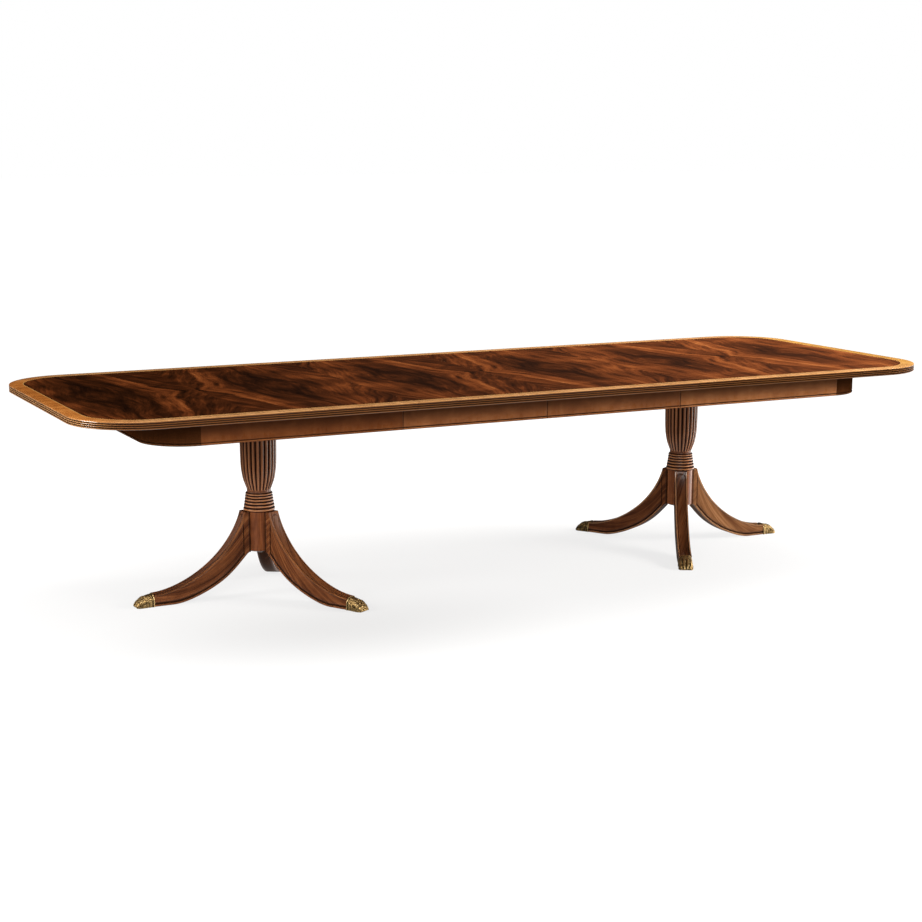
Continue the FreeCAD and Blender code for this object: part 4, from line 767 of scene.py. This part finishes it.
FACE_IN, TURN_X, TURN_Y, TURN_R = 474.0, 1273.0, 334.0, 140.0
for side, tag in ((1, "right"), (-1, "left")):
    spin = Matrix.Identity(3) if side > 0 else Matrix.Rotation(math.pi, 3, "Z")
    off = 700.0 * side
    for sgn in (-1, 1):
        where = "front" if sgn * side < 0 else "back"
        b = Build()
        apron(b, [(x, sgn * FACE_IN, x + off + 4000 * sgn, 0.0, float(sgn), e)
                  for x, e in ((SEAM, 1.4), (SEAM + 1.1, 0.6), (SEAM + 1.9, 0.0), (SEAM + 4.0, 0.0), (TURN_X - 2.0, 0.0), (TURN_X - 0.7, 0.0), (TURN_X, 0.3))])
        # the rails take the painted-light and painted-shade copies of the apron finish
        b.done("%s_apron_%s_rail" % (tag, where), [APRON_PAINTED_SHADE if sgn > 0 else APRON_PAINTED_LIT, INNER], tag + "_half", ["%s_apron_%s" % (tag, where)], 50.0, spin)
    b = Build()
    apron(b, [(1413.0, y, y + 9000 + off, 1.0, 0.0, e) for y, e in ((-TURN_Y, 0.3), (0.7 - TURN_Y, 0.0), (2.0 - TURN_Y, 0.0), (TURN_Y - 2.0, 0.0), (TURN_Y - 0.7, 0.0), (TURN_Y, 0.3))])
    b.done(tag + "_apron_end_rail", [ENDS_PAINTED_SHADE, INNER], tag + "_half", [tag + "_apron_end"], 50.0, spin)
    b = Build()
    for sgn in (-1, 1):
        path = []
        for i in range(25):
            a = math.pi / 2 * i / 24
            nx, ny = math.sin(a), sgn * math.cos(a)
            path.append((TURN_X + TURN_R * nx, sgn * TURN_Y + TURN_R * ny, 152 * a + 5000 * sgn + off, nx, ny))
        apron(b, path)
    b.done(tag + "_apron_corner_pieces", [CORNERS, INNER], tag + "_half", [tag + "_apron_corners"], 50.0, spin)

for name, x0, x1 in (("leaf_a", -558.95, -0.05), ("leaf_b", 0.05, 558.95)):
    b = Build()
    for sgn in (-1, 1):
        apron(b, [(x, sgn * FACE_IN, x + 12000 + 3000 * sgn, 0.0, float(sgn), e)
                  for x, e in ((x0, 1.4), (x0 + 1.1, 0.6), (x0 + 1.9, 0.0), (x0 + 4.0, 0.0), (x1 - 4.0, 0.0), (x1 - 1.9, 0.0), (x1 - 1.1, 0.6), (x1, 1.4))])
    b.done(name + "_apron_rails", [APRON, INNER], name, [name + "_aprons"], 50.0)

# ------------------------------------------------------------------ columns

COLLAR = [(318, 56.3, 3.2), (330, 54.3, 3.2), (341, 52.4, 3.0), (352, 50.8, 3.0), (362, 49.4, 2.8), (371, 48.2, 2.8)]
VASE = [(379, 0), (384, .03), (390, .15), (400, .31), (411, .50), (422, .63), (434, .74), (455, .88), (478, .95), (510, .985), (545, 1), (600, 1), (684, 1)]
REEDS = 24


def column(tag, px):
    b = Build()
    per = 16
    m = REEDS * per
    th = np.arange(m) * 2 * math.pi / m
    u = ((np.arange(m) % per) / per) * 2 - 1                     # across one reed
    hump = np.where(np.abs(u) < 0.76, 0.62 * (1 - np.sqrt(np.clip(1 - (u / 0.78) ** 2, 0, 1))), 1.0)      # 0 on the crest, 1 in the gap
    rows = []                                                     # z, radius, reed depth, wear and painted light
    z0 = 305.0
    rows.append((z0, 46.0, 0.0, 0.8))
    for z1, rad, quirk in COLLAR:
        for i in range(13):
            a = -math.pi / 2 + math.pi * i / 12
            # collar rings: quirks darkened as painted shade, crests lightened as painted highlights
            rows.append((z0 + (z1 - z0) * (0.5 + 0.49 * math.sin(a)), rad - (quirk + 0.8) * (1 - math.cos(a)), 0.0,
                         1.0 if i in (0, 1, 2, 10, 11, 12) else (0.94 if i in (3, 9) else (0.55 if i in (4, 8) else (-1.0 if i == 6 else -0.5)))))
        z0 = z1
    rows += [(371.6, 43.4, 0.0, 0.9), (373.0, 42.9, 0.0, 0.5), (376.0, 42.6, 0.0, 0.3), (378.6, 42.7, 0.5, 0.5)]
    vz, vs = np.array(VASE, float).T
    for z in np.concatenate([np.linspace(379.4, 440, 30), np.linspace(444, 545, 18), np.linspace(560, 684, 6)]):
        share = np.interp(z, vz, vs)
        rad = 42.5 + 22.4 * share
        rows.append((z, rad, 8.2 * (rad / 63.5) ** 1.5 * smooth(z, 377.5, 388.0), 0.0))
    rings = np.zeros((len(rows), m, 3))
    wear_and_painted_light = np.zeros((len(rows), m))
    uv = np.zeros((len(rows), m + 1, 2))
    run = 0.0
    for i, (z, rad, deep, wr) in enumerate(rows):
        r = rad - deep * hump
        rings[i, :, 0] = px + r * np.cos(th)
        rings[i, :, 1] = r * np.sin(th)
        rings[i, :, 2] = z
        reeded = smooth(deep, 0.6, 2.5)
        # reeds: gaps darkened as painted shade, crests lightened as painted highlights
        wear_and_painted_light[i] = wr * (1 - reeded) + reeded * (np.clip((hump - 0.15) / 0.3, 0, 1) - 0.6 * np.clip(1 - hump / 0.06, 0, 1))
        if i:
            run += math.hypot(z - rows[i - 1][0], rad - rows[i - 1][1])
        uv[i, :, 0] = run + (900 if px > 0 else 0)
        uv[i, :, 1] = np.arange(m + 1) * 2 * math.pi * 58.0 / m
    idx = b.loft(rings, uv, 0, wear_and_painted_light, wrap=True)
    for ring, z in ((idx[0][::-1], 0), (idx[-1], 1)):
        b.cap(ring, [(b.co[k][0] / MM, b.co[k][1] / MM) for k in ring], 0)
    b.done(tag + "_reeded_column", [COLUMN], tag + "_half", [tag + "_column"], 62.0)


# ------------------------------------------------------------------ legs
LEG_UP = [(66, 305), (69.8, 292.4), (77.3, 272.4), (87.3, 250.7), (98.6, 230.3), (112.6, 208.7), (130.1, 185.6), (147.5, 165.9), (162.9, 150.4), (185.2, 130.9),
          (206.8, 114.4), (229.7, 99.1), (254.8, 84.7), (282.2, 71.3), (311.2, 59.6), (341, 50.4), (370.8, 44.1), (402, 41)]
LEG_LOW = [(56, 154), (72.3, 136.5), (89.8, 117.8), (104.8, 102.8), (121.1, 88.2), (140.1, 73.3), (160.3, 59.8), (181.8, 47.4), (204.8, 36), (225.9, 26.7),
           (248.1, 18.1), (266.2, 12), (283.1, 7.2), (299.9, 3.4), (317.8, 0.8), (332, 0)]
HALF = 25.0


def leg(tag, place, px, angle, seed, finish):
    n_main = 110
    upc = np.vstack([[[49.0, 305.0]], curve(LEG_UP, 500)])
    lowc = np.vstack([[[49.0, 159.6]], curve(LEG_LOW, 500), [[402.0, 0.0]]])
    su, sl = along(upc), along(lowc)
    # shoulder: upright stations from the hub out past the upright groove, then stations along the sweep
    sh = np.array([49.0, 50.0, 52.4, 56.0, 60.0, 63.5, 65.9, 66.9, 67.6, 68.8, 70.0, 70.7, 71.6])
    t = np.linspace(0, 1, n_main + 1)
    u0, u1 = np.interp(72.6, upc[:, 0], su), su[-1]
    l0, l1 = np.interp(72.6, lowc[:, 0], sl), sl[-1]
    u_at = np.concatenate([np.interp(sh, upc[:, 0], su), u0 + (u1 - u0) * t])
    l_at = np.concatenate([np.interp(sh, lowc[:, 0], sl), l0 + (l1 - l0) * t ** 1.04])
    up = np.stack([np.interp(u_at, su, upc[:, 0]), np.interp(u_at, su, upc[:, 1])], 1)
    low = np.stack([np.interp(l_at, sl, lowc[:, 0]), np.interp(l_at, sl, lowc[:, 1])], 1)
    s_up = u_at - np.interp(66.0, upc[:, 0], su)
    n = len(up)
    k0 = len(sh)
    chord = up - low
    high = np.linalg.norm(chord, axis=1)
    chord = chord / high[:, None]
    run = along((up + low) / 2)
    # side of the section: (share of the height from below, fixed offset from below or above, kind)
    ys_top = np.array([25.0, 24.9, 24.4, 23.4, 22.0, 20.6, 19.4, 18.6, 18.1, 17.7, 17.3, 16.6, 15.4, 13.6, 11.0, 7.6, 3.8, 0.0])
    # below zero lightens the beads as painted highlights, partly rubbed wear; above zero darkens the grooves and the
    # sunk border beside them as painted shade
    low_h = np.array([2.0, 4.4, 6.4, 7.2, 8.2, 9.8, 12.0, 15.5])
    low_d = np.array([0.0, 0.0, 0.0, 0.7, 2.6, 3.0, 2.3, 1.3])
    low_w = np.array([0.0, -0.5, -0.3, 0.5, 1.0, 1.0, 0.85, 0.3])
    top_h = np.array([13.0, 10.0, 9.0, 8.4, 7.6, 5.4, 2.8])
    top_d = np.array([1.3, 1.3, 1.7, 1.2, 0.2, 0.0, 0.0])
    top_w = np.array([0.1, 0.3, 0.7, 0.6, 0.0, -0.5, -0.5])

    def slant(path):
        """How much longer a step square to the outline is when it is taken along the section."""
        t = np.gradient(path, axis=0)
        t = t / np.maximum(np.linalg.norm(t, axis=1), 1e-9)[:, None]
        k = 1 / np.maximum(np.abs(t[:, 0] * chord[:, 1] - t[:, 1] * chord[:, 0]), 0.34)
        k[:k0] = k[k0]
        return k

    k_up, k_low = slant(up), slant(low)
    sections = []                   # one station's right-hand profile: (y, h, wear and painted light) from bottom centre to top centre
    for i in range(n):
        h = high[i]
        on_panel = i >= k0 or sh[i] > 66.5
        groove = i < k0 and 67.3 < sh[i] < 70.3
        pts = [(0.0, 0.0, 0.8), (14.0, 0.0, 0.75), (22.4, 0.0, 0.5), (24.2, 0.5, 0.0)]
        kl, ku = k_low[i], k_up[i] * (1.0 - 0.42 * float(smooth(s_up[i], 30.0, 330.0)))
        for hh, dd, ww in zip(low_h, low_d, low_w):
            d = (3.0 if groove and hh > 9 else dd) if on_panel else 0.0
            pts.append((HALF - d, hh * kl, (1.0 if groove and hh > 9 else ww) if on_panel else 0.0))
        mid_n = 9
        for k in range(1, mid_n):
            hh = low_h[-1] * kl + (h - top_h[0] * ku - low_h[-1] * kl) * k / mid_n
            d = 3.0 if groove else (1.3 if on_panel else 0.0)
            pts.append((HALF - d, hh, 1.0 if groove else 0.0))
        for hh, dd, ww in zip(top_h, top_d, top_w):
            d = (3.0 if groove and hh > 12 else dd) if on_panel else 0.0
            pts.append((HALF - d, h - hh * ku, (1.0 if groove and hh > 12 else ww) if on_panel else 0.0))
        # top face: two edge beads and a hollow between them that ends in a round near the shoulder
        s = s_up[i]
        start, full = 9.0, 26.0
        away = max(0.0, (full - s) / (full - start))
        for y in ys_top:
            e = 1.0 - math.hypot(y / 17.6, away)
            bead = 1.5 * min(1.0, abs(y - 21.4) / 3.9) ** 2 if y > 17.6 else 0.0
            hollow = 3.4 * (1 - (1 - min(1.0, max(0.0, e))) ** 2) ** 0.8 if e > 0 else 0.0
            lip_dip = 1.7 * math.exp(-(e / 0.08) ** 2)
            on = 1.0 if s > 0 else 0.0
            ease = float(smooth(s, -1.0, 8.0)) * on
            fade = 1.0 - float(smooth(away, 1.05, 1.3))
            dh = (bead * ease + (hollow + lip_dip) * on) if y <= 17.6 or fade > 0 else bead * ease
            wr = 0.0
            # the top face's hollow is darkened as painted shade, most at its rim, and the edge beads are lightened as
            # painted highlights
            if on:
                wr = 1.0 * math.exp(-(e / 0.1) ** 2)
                if y > 19 and wr < 0.1:
                    wr = -0.5 * math.exp(-((y - 21.6) / 1.8) ** 2)
                elif e > 0.2:
                    wr = 0.3
            pts.append((y, h - dh, wr))
        sections.append(pts)
    m_half = len(sections[0])
    m = 2 * m_half - 2
    rings = np.zeros((n, m, 3))
    wear_and_painted_light = np.zeros((n, m))
    uv = np.zeros((n, m + 1, 2))
    for i in range(n):
        pts = np.array(sections[i])
        full = np.vstack([pts, (pts * [-1, 1, 1])[-2:0:-1]])
        y, h = full[:, 0], full[:, 1]
        r = low[i, 0] + chord[i, 0] * h
        z = low[i, 1] + chord[i, 1] * h
        if i == 0:
            r = np.sqrt(50.05 ** 2 - y ** 2)
        elif i < k0:
            r = np.maximum(r, np.sqrt(50.05 ** 2 - y ** 2) + 0.3 * i)
        rings[i] = np.stack([r, y, z], 1)
        wear_and_painted_light[i] = full[:, 2]
        if i < 2:
            wear_and_painted_light[i] = np.maximum(wear_and_painted_light[i], (0.95, 0.6)[i])
        g = along(np.vstack([np.array([(0, 0)]), np.stack([y, h], 1)[1:], [(0, 0)]]))
        uv[i, :, 0] = run[i] + seed * 611.0
        uv[i, :, 1] = g + seed * 97.0
    rings[:, :, 2] = np.maximum(rings[:, :, 2], 0.0)
    ca, sa = math.cos(angle), math.sin(angle)
    x = px + rings[:, :, 0] * ca - rings[:, :, 1] * sa
    y = rings[:, :, 0] * sa + rings[:, :, 1] * ca
    rings = np.stack([x, y, rings[:, :, 2]], 2)
    b = Build()
    idx = b.loft(rings, uv, 0, wear_and_painted_light, wrap=True)
    for ring in (idx[0][::-1], idx[-1]):
        b.cap(ring, [(k % m, k // m) for k in range(len(ring))], 0)
    b.done("%s_sabre_leg_%s" % (tag, place), [finish], tag + "_half", ["%s_leg_%s" % (tag, place)], 32.0)


# ------------------------------------------------------------------ paws
PAW_TOP = [(402, 42.6), (410, 42.2), (422, 40.0), (435, 36.8), (447, 32.2), (457, 26.6), (465, 20.2), (470.5, 13.6), (473.6, 7.6), (475, 4.6)]
PAW_HALF = [(402, 26.2), (410, 26.2), (425, 27.2), (440, 28.2), (455, 28.3), (464, 27.2), (470, 25.2), (475, 22.4)]
PAW_LONG = 68.0 / 73.0           # the castings above are drawn 73 long and made 68 long


def paws(tag, px, angles, paw_painted_shade):
    b = Build()
    rs = np.concatenate([[402.0, 402.3, 403.2, 404.6, 406.0, 407.0, 407.4, 408.0, 409.0], np.linspace(410.5, 474.6, 58), [475.0]])
    zt = np.interp(rs, *np.array(PAW_TOP).T)
    hw = np.interp(rs, *np.array(PAW_HALF).T)
    m = 97
    th = np.linspace(0, math.pi, m)
    cy = np.sign(np.cos(th)) * np.abs(np.cos(th)) ** 0.62
    sz = np.sin(th) ** 0.62
    for p, ang in enumerate(angles):
        rings = np.zeros((len(rs), m, 3))
        wear_and_painted_light = np.zeros((len(rs), m))
        for i, r in enumerate(rs):
            q = cy
            ring = 1.8 if 402.2 < r < 407.2 else (0.6 if r < 402.2 else 0.0)
            ring *= math.sin(math.pi * np.clip((r - 402) / 5.4, 0.12, 1)) ** 0.5 if r < 407.3 else 0
            y = (hw[i] + ring) * cy
            z = (zt[i] + ring) * sz
            # toes: four lobes with gaps between them
            tau = np.mod((q + 1) * 2, 1.0) * 2 - 1
            lobe = np.sqrt(np.clip(1 - (0.97 * tau) ** 2, 0, 1))
            spread = smooth(r, 421, 446)
            edge_toe = np.abs(q) > 0.985
            gap = np.where(edge_toe, 0.0, 0.35 * (1 - lobe) + 0.65 * smooth(np.abs(tau), 0.6, 1.0)) * spread
            z = z - gap * np.minimum(8.0, zt[i] * 0.42) * np.clip(sz * 1.6, 0, 1)
            # knuckle and the dip behind the claw
            z = z + (2.3 * math.exp(-((r - 442) / 6.0) ** 2) - 1.6 * math.exp(-((r - 458) / 4.5) ** 2)) * lobe * sz
            # hair: combed locks that lap one another
            hair = smooth(r, 407.5, 411) * (1 - smooth(r, 438, 452))
            lap = np.mod(r / 11.0 + 0.5 * np.sin(q * 9 + p) + 0.13 * np.sin(q * 31 + 2 * p), 1.0)
            lock = np.abs(np.sin(q * 21 + 1.7 * np.sin(r / 8.0 + 4 * q + p)))
            dent = hair * (1.15 * (1 - lock) + 0.9 * lap)
            nrm = np.hypot(y / 28.0, z / 44.0) + 1e-6
            z = z - dent * (z / 44.0) / nrm * np.clip(sz * 2, 0, 1)
            y = y - dent * (y / 28.0) / nrm
            rr = r - 6.5 * smooth(r, 440, 475) * q ** 2 - gap * 4.2 * smooth(r, 458, 475)
            rings[i] = np.stack([np.full(m, 1.0) * rr, y, np.maximum(z, 0)], 1)
            wear_and_painted_light[i] = np.clip(1.7 * gap + hair * (0.6 * (1 - lock) + 0.35 * lap - 0.25), -0.3, 1)
            wear_and_painted_light[i] -= 0.5 * np.clip(lobe - 0.85, 0, 1) / 0.15 * spread * (r < 462)
            if r < 407.2:
                wear_and_painted_light[i] = -0.7 if 403 < r < 406.5 else 0.7
            elif r < 409.5:
                wear_and_painted_light[i] = 0.95
            # painted shade on paws that stand in shadow, added to the patina
            wear_and_painted_light[i] = np.minimum(1.0, wear_and_painted_light[i] + paw_painted_shade[p])
        ca, sa = math.cos(ang), math.sin(ang)

        def place(a):
            r = 402.0 + (a[..., 0] - 402.0) * PAW_LONG
            return np.stack([px + r * ca - a[..., 1] * sa, r * sa + a[..., 1] * ca, a[..., 2]], -1)

        uv = np.zeros((len(rs), m + 1, 2))
        uv[:, :, 0] = rs[:, None]
        uv[:, :, 1] = np.arange(m + 1) * 1.2
        idx = b.loft(place(rings), uv, 0, wear_and_painted_light, wrap=True)
        for ring in (idx[0][::-1], idx[-1]):
            b.cap(ring, [(k, 0) for k in range(len(ring))], 0)
        # claws
        for k, q in enumerate((-0.75, -0.25, 0.25, 0.75)):
            yc = q * 25.5
            r0, r1 = 461.0 - 5.5 * q * q, 474.6 - 5.5 * q * q
            seg, st = 12, 9
            claw = np.zeros((st, seg, 3))
            for i in range(st):
                t = i / (st - 1)
                rad = 4.3 * math.sqrt(max(0.0, 1 - t ** 1.6)) + 0.25
                cz = 9.5 - 5.6 * t * t
                for j in range(seg):
                    a = 2 * math.pi * j / seg
                    claw[i, j] = (r0 + (r1 - r0) * t, yc * (1 - 0.05 * t) + rad * 0.8 * math.cos(a), max(0.2, cz + rad * math.sin(a)))
            cuv = np.zeros((st, seg + 1, 2))
            ci = b.loft(place(claw), cuv, 0, np.full((st, seg), -0.1 + paw_painted_shade[p]), wrap=True)
            for ring in (ci[0][::-1], ci[-1]):
                b.cap(ring, [(0, 0)] * seg, 0)
    b.done(tag + "_paw_feet", [BRASS], tag + "_half", [tag + "_paws"], 50.0)


for tag, px, turns in (("left", -PED_X, (180, -60, 60)), ("right", PED_X, (0, -120, 120))):
    column(tag, px)
    for k, (place, deg) in enumerate(zip(("end", "front", "back"), turns)):
        # the left pedestal's legs take the plain finish, the right one's take the painted-light and painted-shade
        # copies
        leg(tag, place, px, math.radians(deg), k + (3 if px > 0 else 0), PEDESTAL if px < 0 else (PEDESTAL_PAINTED_LIT if place == "end" else PEDESTAL_PAINTED_SHADE))
    # the right pedestal's front paw is darkened a little and its back paw much, as painted shade
    paws(tag, px, [math.radians(d) for d in turns], (0.0, 0.0, 0.0) if px < 0 else (0.0, 0.1, 0.7))

# ------------------------------------------------------------------ carried-over parts
FINISH = [("_screws", STEEL), ("_hub_plate", STEEL), ("_tie_rod", STEEL), ("_latch_fittings", LATCH), ("_pins", LATCH),
          ("_glue_blocks", INNER), ("slide_rails", INNER), ("slide_battens", INNER), ("_bearer", INNER), ("_hub", HUB)]
for name, ob in NODES.items():
    if ob.type != "MESH":
        continue
    mat = LATCH if name.startswith("latch_") else next((m for end, m in FINISH if name.endswith(end)), None)
    if mat is not None:
        for s in ob.material_slots:
            s.material = mat

# ------------------------------------------------------------------ stage, light and camera
floor_me = bpy.data.meshes.new("studio_floor")
floor_me.from_pydata([(-60, -60, -0.0004), (60, -60, -0.0004), (60, 60, -0.0004), (-60, 60, -0.0004)], [], [(0, 1, 2, 3)])
fn = Nodes("studio_floor")
f_xyz = fn.split(fn.new("ShaderNodeTexCoord").outputs["Object"])
f_x = fn.math("DIVIDE", fn.math("ADD", f_xyz[0], 0.25), 2.6)
f_y = fn.math("DIVIDE", fn.math("ADD", f_xyz[1], 0.15), 1.7)
f_r = fn.math("SQRT", fn.math("ADD", fn.math("MULTIPLY", f_x, f_x), fn.math("MULTIPLY", f_y, f_y)))
f_u = fn.math("DIVIDE", fn.math("ADD", f_xyz[0], 0.85), 0.98)
f_v = fn.math("DIVIDE", fn.math("ADD", f_xyz[1], 0.6), 0.62)
f_s = fn.math("SQRT", fn.math("ADD", fn.math("MULTIPLY", f_u, f_u), fn.math("MULTIPLY", f_v, f_v)))
# the floor glows evenly far off, and less in an oval round the table and in a patch at its front left: a painted shadow
f_glow_painted_shadow = fn.math("SUBTRACT", fn.range(f_r, 0.33, 1.05, 0.78, 1.0), fn.range(f_s, 0.0, 1.0, 0.11, 0.0))
fn.set(Base_Color=(0.12, 0.12, 0.12, 1), Roughness=0.9, Emission_Color=(1, 1, 1, 1), Emission_Strength=f_glow_painted_shadow)
fn.set(Specular_IOR_Level=0.0)
floor_me.materials.append(fn.mat)
floor = bpy.data.objects.new("studio_floor", floor_me)
bpy.context.scene.collection.objects.link(floor)
floor.visible_glossy = False

world = bpy.data.worlds.new("studio")
bpy.context.scene.world = world
world.use_nodes = True
wt = world.node_tree
wt.nodes.clear()
w_out = wt.nodes.new("ShaderNodeOutputWorld")
w_path = wt.nodes.new("ShaderNodeLightPath")
w_cam = wt.nodes.new("ShaderNodeBackground")
w_cam.inputs[0].default_value = (1, 1, 1, 1)
w_cam.inputs[1].default_value = 1.0
# what polished surfaces see: pale floor straight below, dim floor near the skyline, white walls to the
# sides (the right one brighter), a dark wall behind the table and a dim one behind the camera


def w_math(op, x, y=0.0):
    k = wt.nodes.new("ShaderNodeMath")
    k.operation = op
    for sock, val in zip(k.inputs, (x, y)):
        if hasattr(val, "node"):
            wt.links.new(val, sock)
        else:
            sock.default_value = val
    return k.outputs[0]


def w_ramp(val, lo, hi, stops):
    k = wt.nodes.new("ShaderNodeMapRange")
    wt.links.new(val, k.inputs["Value"])
    k.inputs["From Min"].default_value = lo
    k.inputs["From Max"].default_value = hi
    r = wt.nodes.new("ShaderNodeValToRGB")
    wt.links.new(k.outputs[0], r.inputs[0])
    e = r.color_ramp.elements
    while len(e) < len(stops):
        e.new(0.5)
    for q, (pos, tone) in zip(e, stops):
        q.position = (pos - lo) / (hi - lo)
        q.color = (tone, tone, tone, 1)
    return r.outputs[0]


w_co = wt.nodes.new("ShaderNodeTexCoord")
w_xyz = wt.nodes.new("ShaderNodeSeparateXYZ")
wt.links.new(w_co.outputs["Generated"], w_xyz.inputs[0])
w_x, w_y, w_z = w_xyz.outputs
w_away = w_math("ADD", w_math("MULTIPLY", w_x, math.sin(math.radians(27))), w_math("MULTIPLY", w_y, math.cos(math.radians(27))))
w_wall = w_ramp(w_away, -1.0, 1.0, ((-1.0, 0.05), (-0.5, 0.08), (-0.15, 0.45), (0.3, 0.7), (0.7, 0.6), (0.8, 0.3), (0.92, 0.004), (1.0, 0.003)))
w_side = w_ramp(w_x, -1.0, 1.0, ((-1.0, 0.45), (-0.2, 0.5), (0.2, 0.5), (0.8, 0.6), (1.0, 0.35)))
w_rise = w_ramp(w_z, -1.0, 1.0, ((-1.0, 0.0), (-0.01, 0.0), (0.01, 1.0), (0.4, 0.8), (0.7, 0.15), (1.0, 0.05)))
w_down = w_ramp(w_z, -1.0, 1.0, ((-1.0, 0.75), (-0.5, 0.6), (-0.3, 0.14), (-0.15, 0.05), (-0.01, 0.04), (0.01, 0.0), (1.0, 0.0)))
# bright floor away to the right and to the near left, which the upright reeds and the hub pick up
w_low = w_ramp(w_z, -1.0, 1.0, ((-1.0, 0.0), (-0.5, 0.0), (-0.3, 1.0), (-0.02, 1.0), (0.02, 0.0), (1.0, 0.0)))
w_right = w_ramp(w_x, -1.0, 1.0, ((-1.0, 0.0), (0.62, 0.0), (0.85, 0.5), (1.0, 1.0)))
w_near = w_ramp(w_math("ADD", w_math("MULTIPLY", w_x, -0.8), w_math("MULTIPLY", w_y, -0.6)), -1.0, 1.0, ((-1.0, 0.0), (0.86, 0.0), (0.96, 1.0), (1.0, 1.0)))
w_glow = w_math("MULTIPLY", w_low, w_math("ADD", w_math("MULTIPLY", w_right, 3.6), w_math("MULTIPLY", w_near, 0.25)))
w_veil = w_ramp(w_x, -1.0, 1.0, ((-1.0, 0.0), (0.3, 0.0), (0.62, 0.02), (1.0, 0.02)))
w_gls = wt.nodes.new("ShaderNodeBackground")
w_gls.inputs[0].default_value = (1, 0.97, 0.93, 1)
wt.links.new(w_math("ADD", w_math("ADD", w_math("MULTIPLY", w_math("MULTIPLY", w_wall, w_side), w_rise), w_down), w_math("ADD", w_glow, w_math("MULTIPLY", w_veil, w_rise))), w_gls.inputs[1])
w_dif = wt.nodes.new("ShaderNodeBackground")
w_dif.inputs[0].default_value = (1, 0.985, 0.96, 1)
w_dif.inputs[1].default_value = 0.1
m1 = wt.nodes.new("ShaderNodeMixShader")
m2 = wt.nodes.new("ShaderNodeMixShader")
wt.links.new(w_path.outputs["Is Glossy Ray"], m1.inputs[0])
wt.links.new(w_dif.outputs[0], m1.inputs[1])
wt.links.new(w_gls.outputs[0], m1.inputs[2])
wt.links.new(w_path.outputs["Is Camera Ray"], m2.inputs[0])
wt.links.new(m1.outputs[0], m2.inputs[1])
wt.links.new(w_cam.outputs[0], m2.inputs[2])
wt.links.new(m2.outputs[0], w_out.inputs[0])


# a lamp mirrored in the level polish would white out a whole panel, so the lamps glint on everything but the top
polished = bpy.data.collections.new("polished")
for ob in list(bpy.context.scene.objects):
    if ob.type == "MESH" and ob != floor and not ob.name.endswith(("_veneer", "_edge_moulding")):
        polished.objects.link(ob)
reeds = bpy.data.collections.new("reeds")
reeds.objects.link(bpy.data.objects["left_edge_moulding"])


def softbox(name, place, aim, size, power, color=(1, 1, 1), fill=True, glint=True, on=polished):
    la = bpy.data.lights.new(name, "AREA")
    la.shape = "RECTANGLE"
    la.size, la.size_y = size
    la.energy = power
    la.color = color
    for sheen in [False] * fill + [True] * glint:
        ob = bpy.data.objects.new(name + "_sheen" if sheen else name, la)
        ob.location = place
        ob.rotation_euler = (Vector(aim) - Vector(place)).to_track_quat("-Z", "Y").to_euler()
        ob.visible_camera = False
        ob.visible_glossy = sheen
        ob.visible_diffuse = not sheen
        bpy.context.scene.collection.objects.link(ob)
        if sheen:
            ob.light_linking.receiver_collection = on


softbox("overhead", (2.0, 0.6, 3.3), (1.0, 0.05, 0.7), (3.0, 2.0), 300, (1, 0.97, 0.93))
softbox("side_right", (4.6, -2.9, 2.2), (1.0, 0.0, 0.3), (2.4, 1.4), 540, (1, 0.97, 0.93))
softbox("side_left", (-4.6, 0.15, 1.85), (-1.6, 0.0, 0.7), (1.1, 1.3), 150, (1, 0.97, 0.94))
softbox("front_fill", (-1.5, -7.0, 3.0), (0.0, 0.0, 0.5), (4.0, 2.4), 100, (1, 0.98, 0.95), glint=False)
softbox("front_left", (-2.3, -2.2, 1.5), (-0.9, 0.0, 0.3), (1.1, 0.7), 50, (1, 0.98, 0.95))

softbox("front_pane", (-1.12, -3.1, 1.8), (0.9, 0.0, 0.28), (1.1, 1.1), 38, (1, 0.97, 0.93), fill=False)
# a low card beside the left end, below the level of the top
softbox("left_card", (-3.18, -0.23, 0.395), (-1.6, -0.5, 0.395), (0.85, 0.69), 48, (1, 0.98, 0.95), fill=False, on=reeds)

cam_data = bpy.data.cameras.new("camera")
cam_data.sensor_fit = "HORIZONTAL"
cam_data.sensor_width = 36.0
cam_data.lens = 70.0849
cam_data.clip_end = 300.0
cam = bpy.data.objects.new("camera", cam_data)
yaw, pitch, roll = (math.radians(a) for a in (26.88734, 10.33954, 0.10834))
fw = Vector((math.sin(yaw) * math.cos(pitch), math.cos(yaw) * math.cos(pitch), -math.sin(pitch)))
rt = Vector((math.cos(yaw), -math.sin(yaw), 0.0))
up = rt.cross(fw)
r2 = math.cos(roll) * rt + math.sin(roll) * up
u2 = -math.sin(roll) * rt + math.cos(roll) * up
cam.matrix_world = Matrix(((r2.x, u2.x, -fw.x, -3.09229), (r2.y, u2.y, -fw.y, -5.92189), (r2.z, u2.z, -fw.z, 1.62758), (0, 0, 0, 1)))
bpy.context.scene.collection.objects.link(cam)
bpy.context.scene.camera = cam
bpy.context.scene.view_settings.view_transform = "Standard"
bpy.context.scene.view_settings.look = "None"

bpy.context.view_layer.update()
